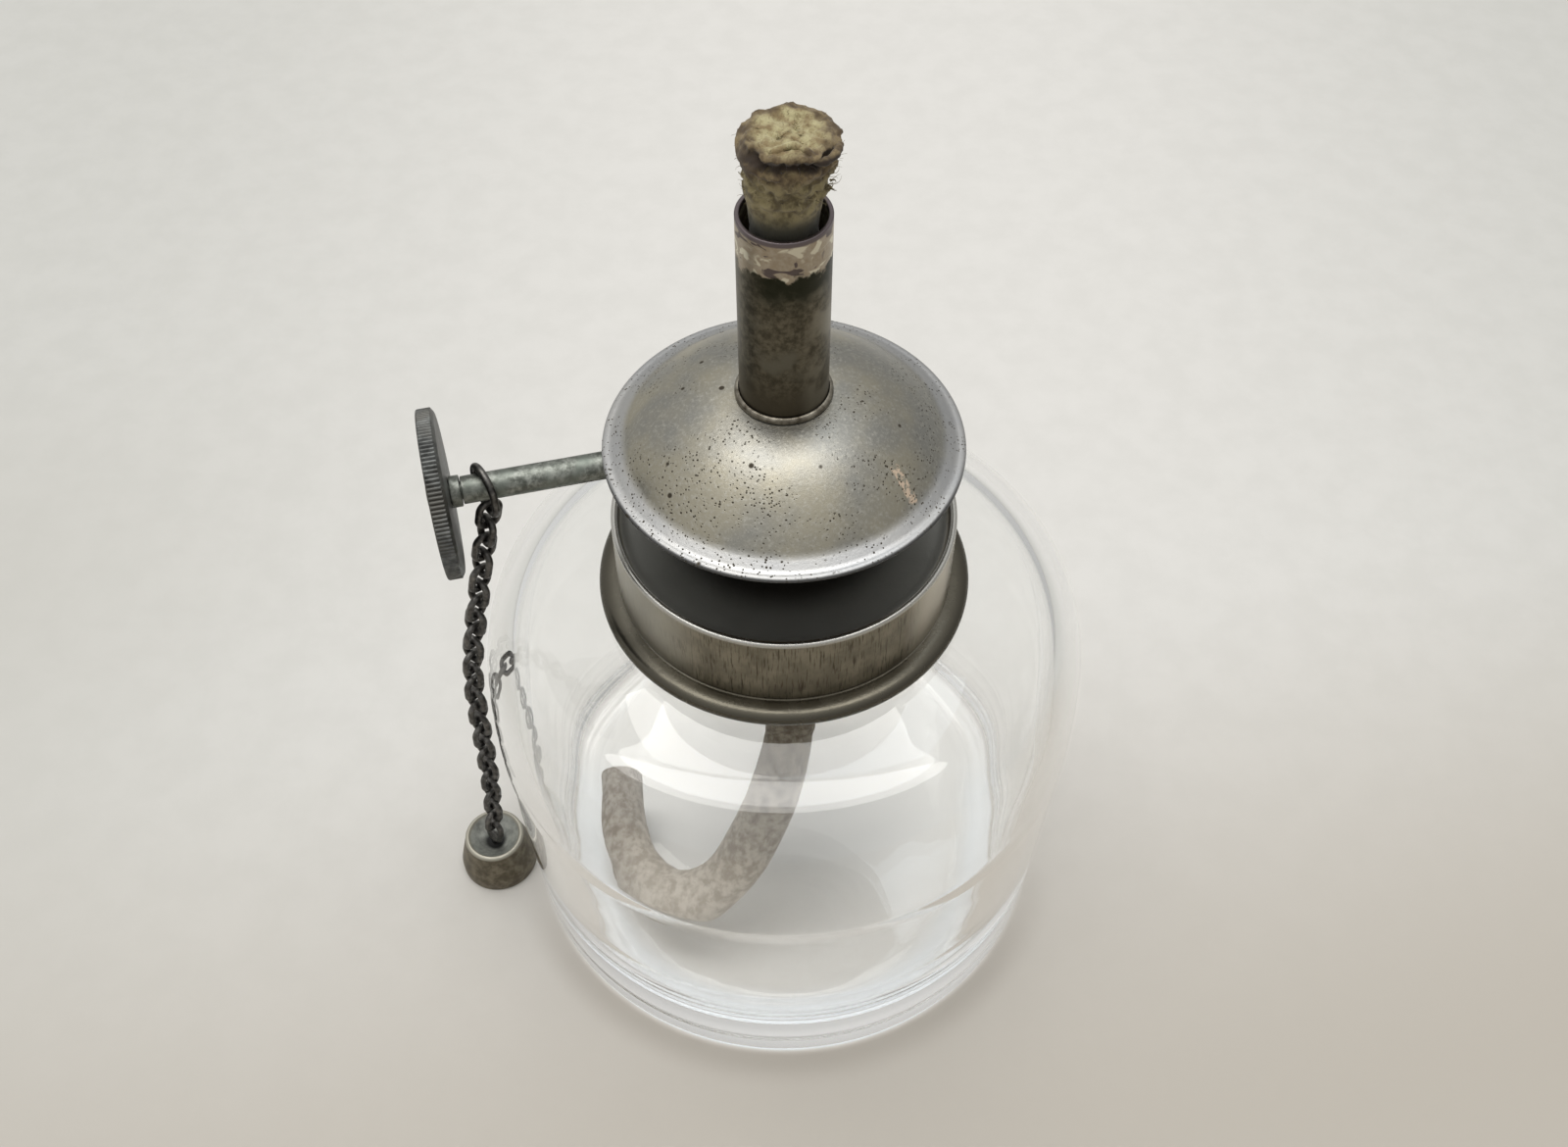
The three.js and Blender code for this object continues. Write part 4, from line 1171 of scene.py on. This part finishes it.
def cotton_look(name, charred):
    """Cotton yarn. The head is yellow and charred under its rim, with painted shade under the fold
    at its front and on the stem at the tube's mouth; the tail is paler low down and darker at its
    far end.
    """
    look = Look(name, (0.5, 0.43, 0.27), roughness=0.95)
    look.set(look.shader, "Sheen Weight", 0.12)
    look.set(look.shader, "Sheen Roughness", 0.6)
    patches = look.noise(1.3, 4, 0.6)
    fibre = look.noise(0.16, 3, 0.6, stretch=(1, 1, 3))
    pale, deep = (0.27, 0.235, 0.18), (0.13, 0.105, 0.075)
    if charred:
        pale, deep = (0.43, 0.385, 0.215), (0.215, 0.155, 0.072)
    colour = look.blend(patches, 0.35, 0.65, deep, pale)
    colour = look.blend(fibre, 0.52, 0.75, colour, [c * 0.55 for c in deep])
    if charred:
        radius, _, height = look.around(look.centred((HEAD_CENTRE, 0, 0)))
        y = look.parts()[1]
        wander = look.times(look.minus(look.noise(2.2, 3, 0.55), 0.5), 3.4)
        stem = look.blend(patches, 0.36, 0.62, (0.09, 0.068, 0.03), (0.27, 0.225, 0.115))
        colour = look.blend(look.plus(height, wander), 121.2, 120.2, colour, stem)
        edge = look.within((look.plus(radius, wander), 3, 4.2), (height, 118.6, 120.4))
        rim = look.blend(patches, 0.4, 0.62, (0.062, 0.038, 0.018), (0.19, 0.135, 0.068))
        colour = look.mix(look.times(edge, 0.9), colour, rim)
        # Painted shade: near black under the fold, at the front of the head.
        front = look.within((y, -0.9, -2.6), (radius, 3, 3.6))
        wave = look.plus(height, look.times(wander, 0.25))
        band = look.within((wave, 120.5, 121.1), (wave, 122.2, 121.8))
        colour = look.mix(look.times(front, band), colour, (0.03, 0.018, 0.01))
        # Painted shade: the stem darkens at the tube's mouth, starting higher at the front.
        dark = look.plus(height, look.times(y, 0.25))
        foot = look.within((dark, 115.2, 112.6), (height, 109, 111.5))
        colour = look.mix(foot, colour, (0.04, 0.036, 0.02))
    else:
        x, _, z = look.parts()
        # The tail's colour is paler towards its low end and darker at its far end, towards -X.
        paler_low = look.blend(patches, 0.35, 0.65, (0.42, 0.37, 0.31), (0.62, 0.57, 0.5))
        darker_end = look.blend(patches, 0.35, 0.65, (0.24, 0.205, 0.165), (0.42, 0.38, 0.33))
        paler_low = look.blend(x, -18, -24, paler_low, darker_end)
        colour = look.blend(z, 32, 15, colour, paler_low)
    look.paint(colour)
    look.bump(fibre, 0.1, 0.55)
    return look.material


def braid(turn, along):
    """Height of crossing yarns on a cord's surface, from 0 to 1."""
    around = BRAID_STRANDS / 2 * turn
    lay = math.pi * along / BRAID_LAY
    return max(abs(math.sin(around + lay)), abs(math.sin(around - lay))) ** 0.5


def wick_profile():
    profile = Outline([(0, WICK_LOW)])
    profile.line((WICK_RADIUS, WICK_LOW), 4)
    profile.line((WICK_RADIUS, STEM_TOP), 200)
    head = spline([(r, z, 0) for r, z in HEAD_SHAPE], 12)
    return profile + [(max(p.x, 0), p.y) for p in head[1:]]


def wick_point(x, y, z):
    """Braid on the stem, a flat side at the feed wheels, lumps and lean on the head."""
    radius = math.hypot(x, y)
    if radius < 1e-6:
        return x, y, z
    loose = clamp((z - HEAD_LOW + 3) / 3)
    groove = BRAID_DEPTH * (braid(math.atan2(y, x), z) - 1) * (1 - 0.6 * loose)
    lumps = 0.8 * noise.noise((x * 0.45, y * 0.45, z * 0.6))
    lumps += 0.5 * noise.noise((x * 1.4, y * 1.4, z * 1.4))
    facing = max(-y / radius, 0) ** 0.7 if radius > 2.5 else 0
    undercut = facing * math.exp(-(((z - UNDERCUT_HEIGHT) / UNDERCUT_SPREAD) ** 2))
    grown = radius + min(groove + loose * (lumps - 0.1), 0.15) - 0.75 * undercut
    x, y = x * grown / radius, y * grown / radius
    angle = math.radians(SHAFT_ANGLE)
    across = Vector((-math.sin(angle), math.cos(angle)))
    off = x * across.x + y * across.y
    if WICK_FLAT_LOW < z < WICK_FLAT_HIGH and off > WICK_FLAT:
        x -= (off - WICK_FLAT) * across.x
        y -= (off - WICK_FLAT) * across.y
    lean = HEAD_LEAN * clamp((z - TUBE_TOP) / (HEAD_TOP - TUBE_TOP))
    dent = 0.45 * noise.noise((x * 0.8, y * 0.8, 7)) + 0.2 * noise.noise((x * 2.4, y * 2.4, 3))
    return x + lean, y, z + loose * min(dent, 0.1)


def fray(rng, count, root_low, root_high, length, thickness):
    """Loose fibres that leave the head and curl."""
    shapes = []
    for _ in range(count):
        turn = rng.uniform(0, TURN)
        height = rng.uniform(root_low, root_high)
        top = height > HEAD_TOP - 1
        radius = rng.uniform(0.5, 4) if top else (3.1 if height < HEAD_LOW else 4.3)
        here = Vector((HEAD_CENTRE + radius * math.cos(turn), radius * math.sin(turn), height))
        way = Vector((math.cos(turn), math.sin(turn), rng.uniform(-0.4, 0.9)))
        if top:
            way = Vector((rng.uniform(-1, 1), rng.uniform(-1, 1), rng.uniform(0, 0.5)))
        way.normalize()
        here = here - way * 0.5
        path = [here]
        step = rng.uniform(0.5, 1) * length / 6
        for _ in range(6):
            way = (way + Vector([rng.uniform(-0.5, 0.5) for _ in range(3)])).normalized()
            here = here + way * step
            path.append(here)
        radii = [thickness * (1 - 0.12 * k) for k in range(len(path))]
        shapes.append(sweep(path, radii, 4))
    return shapes


def wick():
    rng = random.Random(FRAY_SEED)
    points, faces = revolve(wick_profile(), 96)
    body = ([wick_point(*p) for p in points], faces)
    low = HEAD_LOW - FRAY_ROOT
    yarns = fray(rng, 70, low, HEAD_TOP - 1.1, 1.5, 0.11)
    tops = fray(rng, 90, HEAD_TOP - 0.9, HEAD_TOP - 0.3, 1.5, 0.12)
    hairs = fray(rng, 120, low, HEAD_TOP - 0.3, 1.9, 0.035)
    fold_line = spline(FOLD_ROUTE, 8)
    fold = sweep(fold_line, [0.42 + 0.16 * noise.noise(p * 1.7) for p in fold_line], 10)
    shape = joined([body, fold, *yarns, *tops, *hairs])
    look = cotton_look("wick_cotton", True)
    add_piece("wick_cotton", shape, look, "wick", "wick", 70)


def wick_tail():
    path = spline(TAIL_ROUTE, 24)
    sides = 64
    shape = sweep(path, WICK_RADIUS, sides)
    points = []
    along = 0
    for k, middle in enumerate(path):
        if k:
            along += (middle - path[k - 1]).length
        for j in range(sides):
            point = Vector(shape[0][k * sides + j])
            less = 0.05 * (braid(TURN * j / sides, along) - 1)
            points.append(middle + (point - middle) * (1 + less))
    shape = (points, shape[1])
    look = cotton_look("wick_tail_cotton", False)
    piece = add_piece("wick_tail_cord", shape, look, "wick", "wick_tail", 70)


def cork_look():
    stops = [(0.35, (0.2, 0.12, 0.07)), (0.65, (0.5, 0.37, 0.23))]
    grain = (0.8, 4, 0.7)
    return stained_look("washer_cork", (0.4, 0.28, 0.17), 0, 0.9, grain, stops, bump=(0.1, 0.5))


def finish_kept(look, *names):
    """Gives CAD nodes that stay their material."""
    for name in names:
        mesh = frame["nodes"][name].data
        mesh.materials.clear()
        mesh.materials.append(look)


make_camera()
wick_tail()
make_world()
make_lights()
make_floor()

steel = shaft_look()
gunmetal = chain_look()
dark = dark_look()
bottle()
collar()
dish()
ferrule()
tube()
barrel(dark)
shaft(steel)
hub(steel)
wheel()
rivet(steel)
wick()
chain(gunmetal)
snuffer()
eye(gunmetal)
finish_kept(dark, "thread_sleeve", "tube_flange")
finish_kept(
    steel, "shaft_bush_outer", "shaft_bush_inner", "feed_wheel_outer", "feed_wheel_inner"
)
finish_kept(cork_look(), "sealing_washer")

bpy.context.view_layer.update()
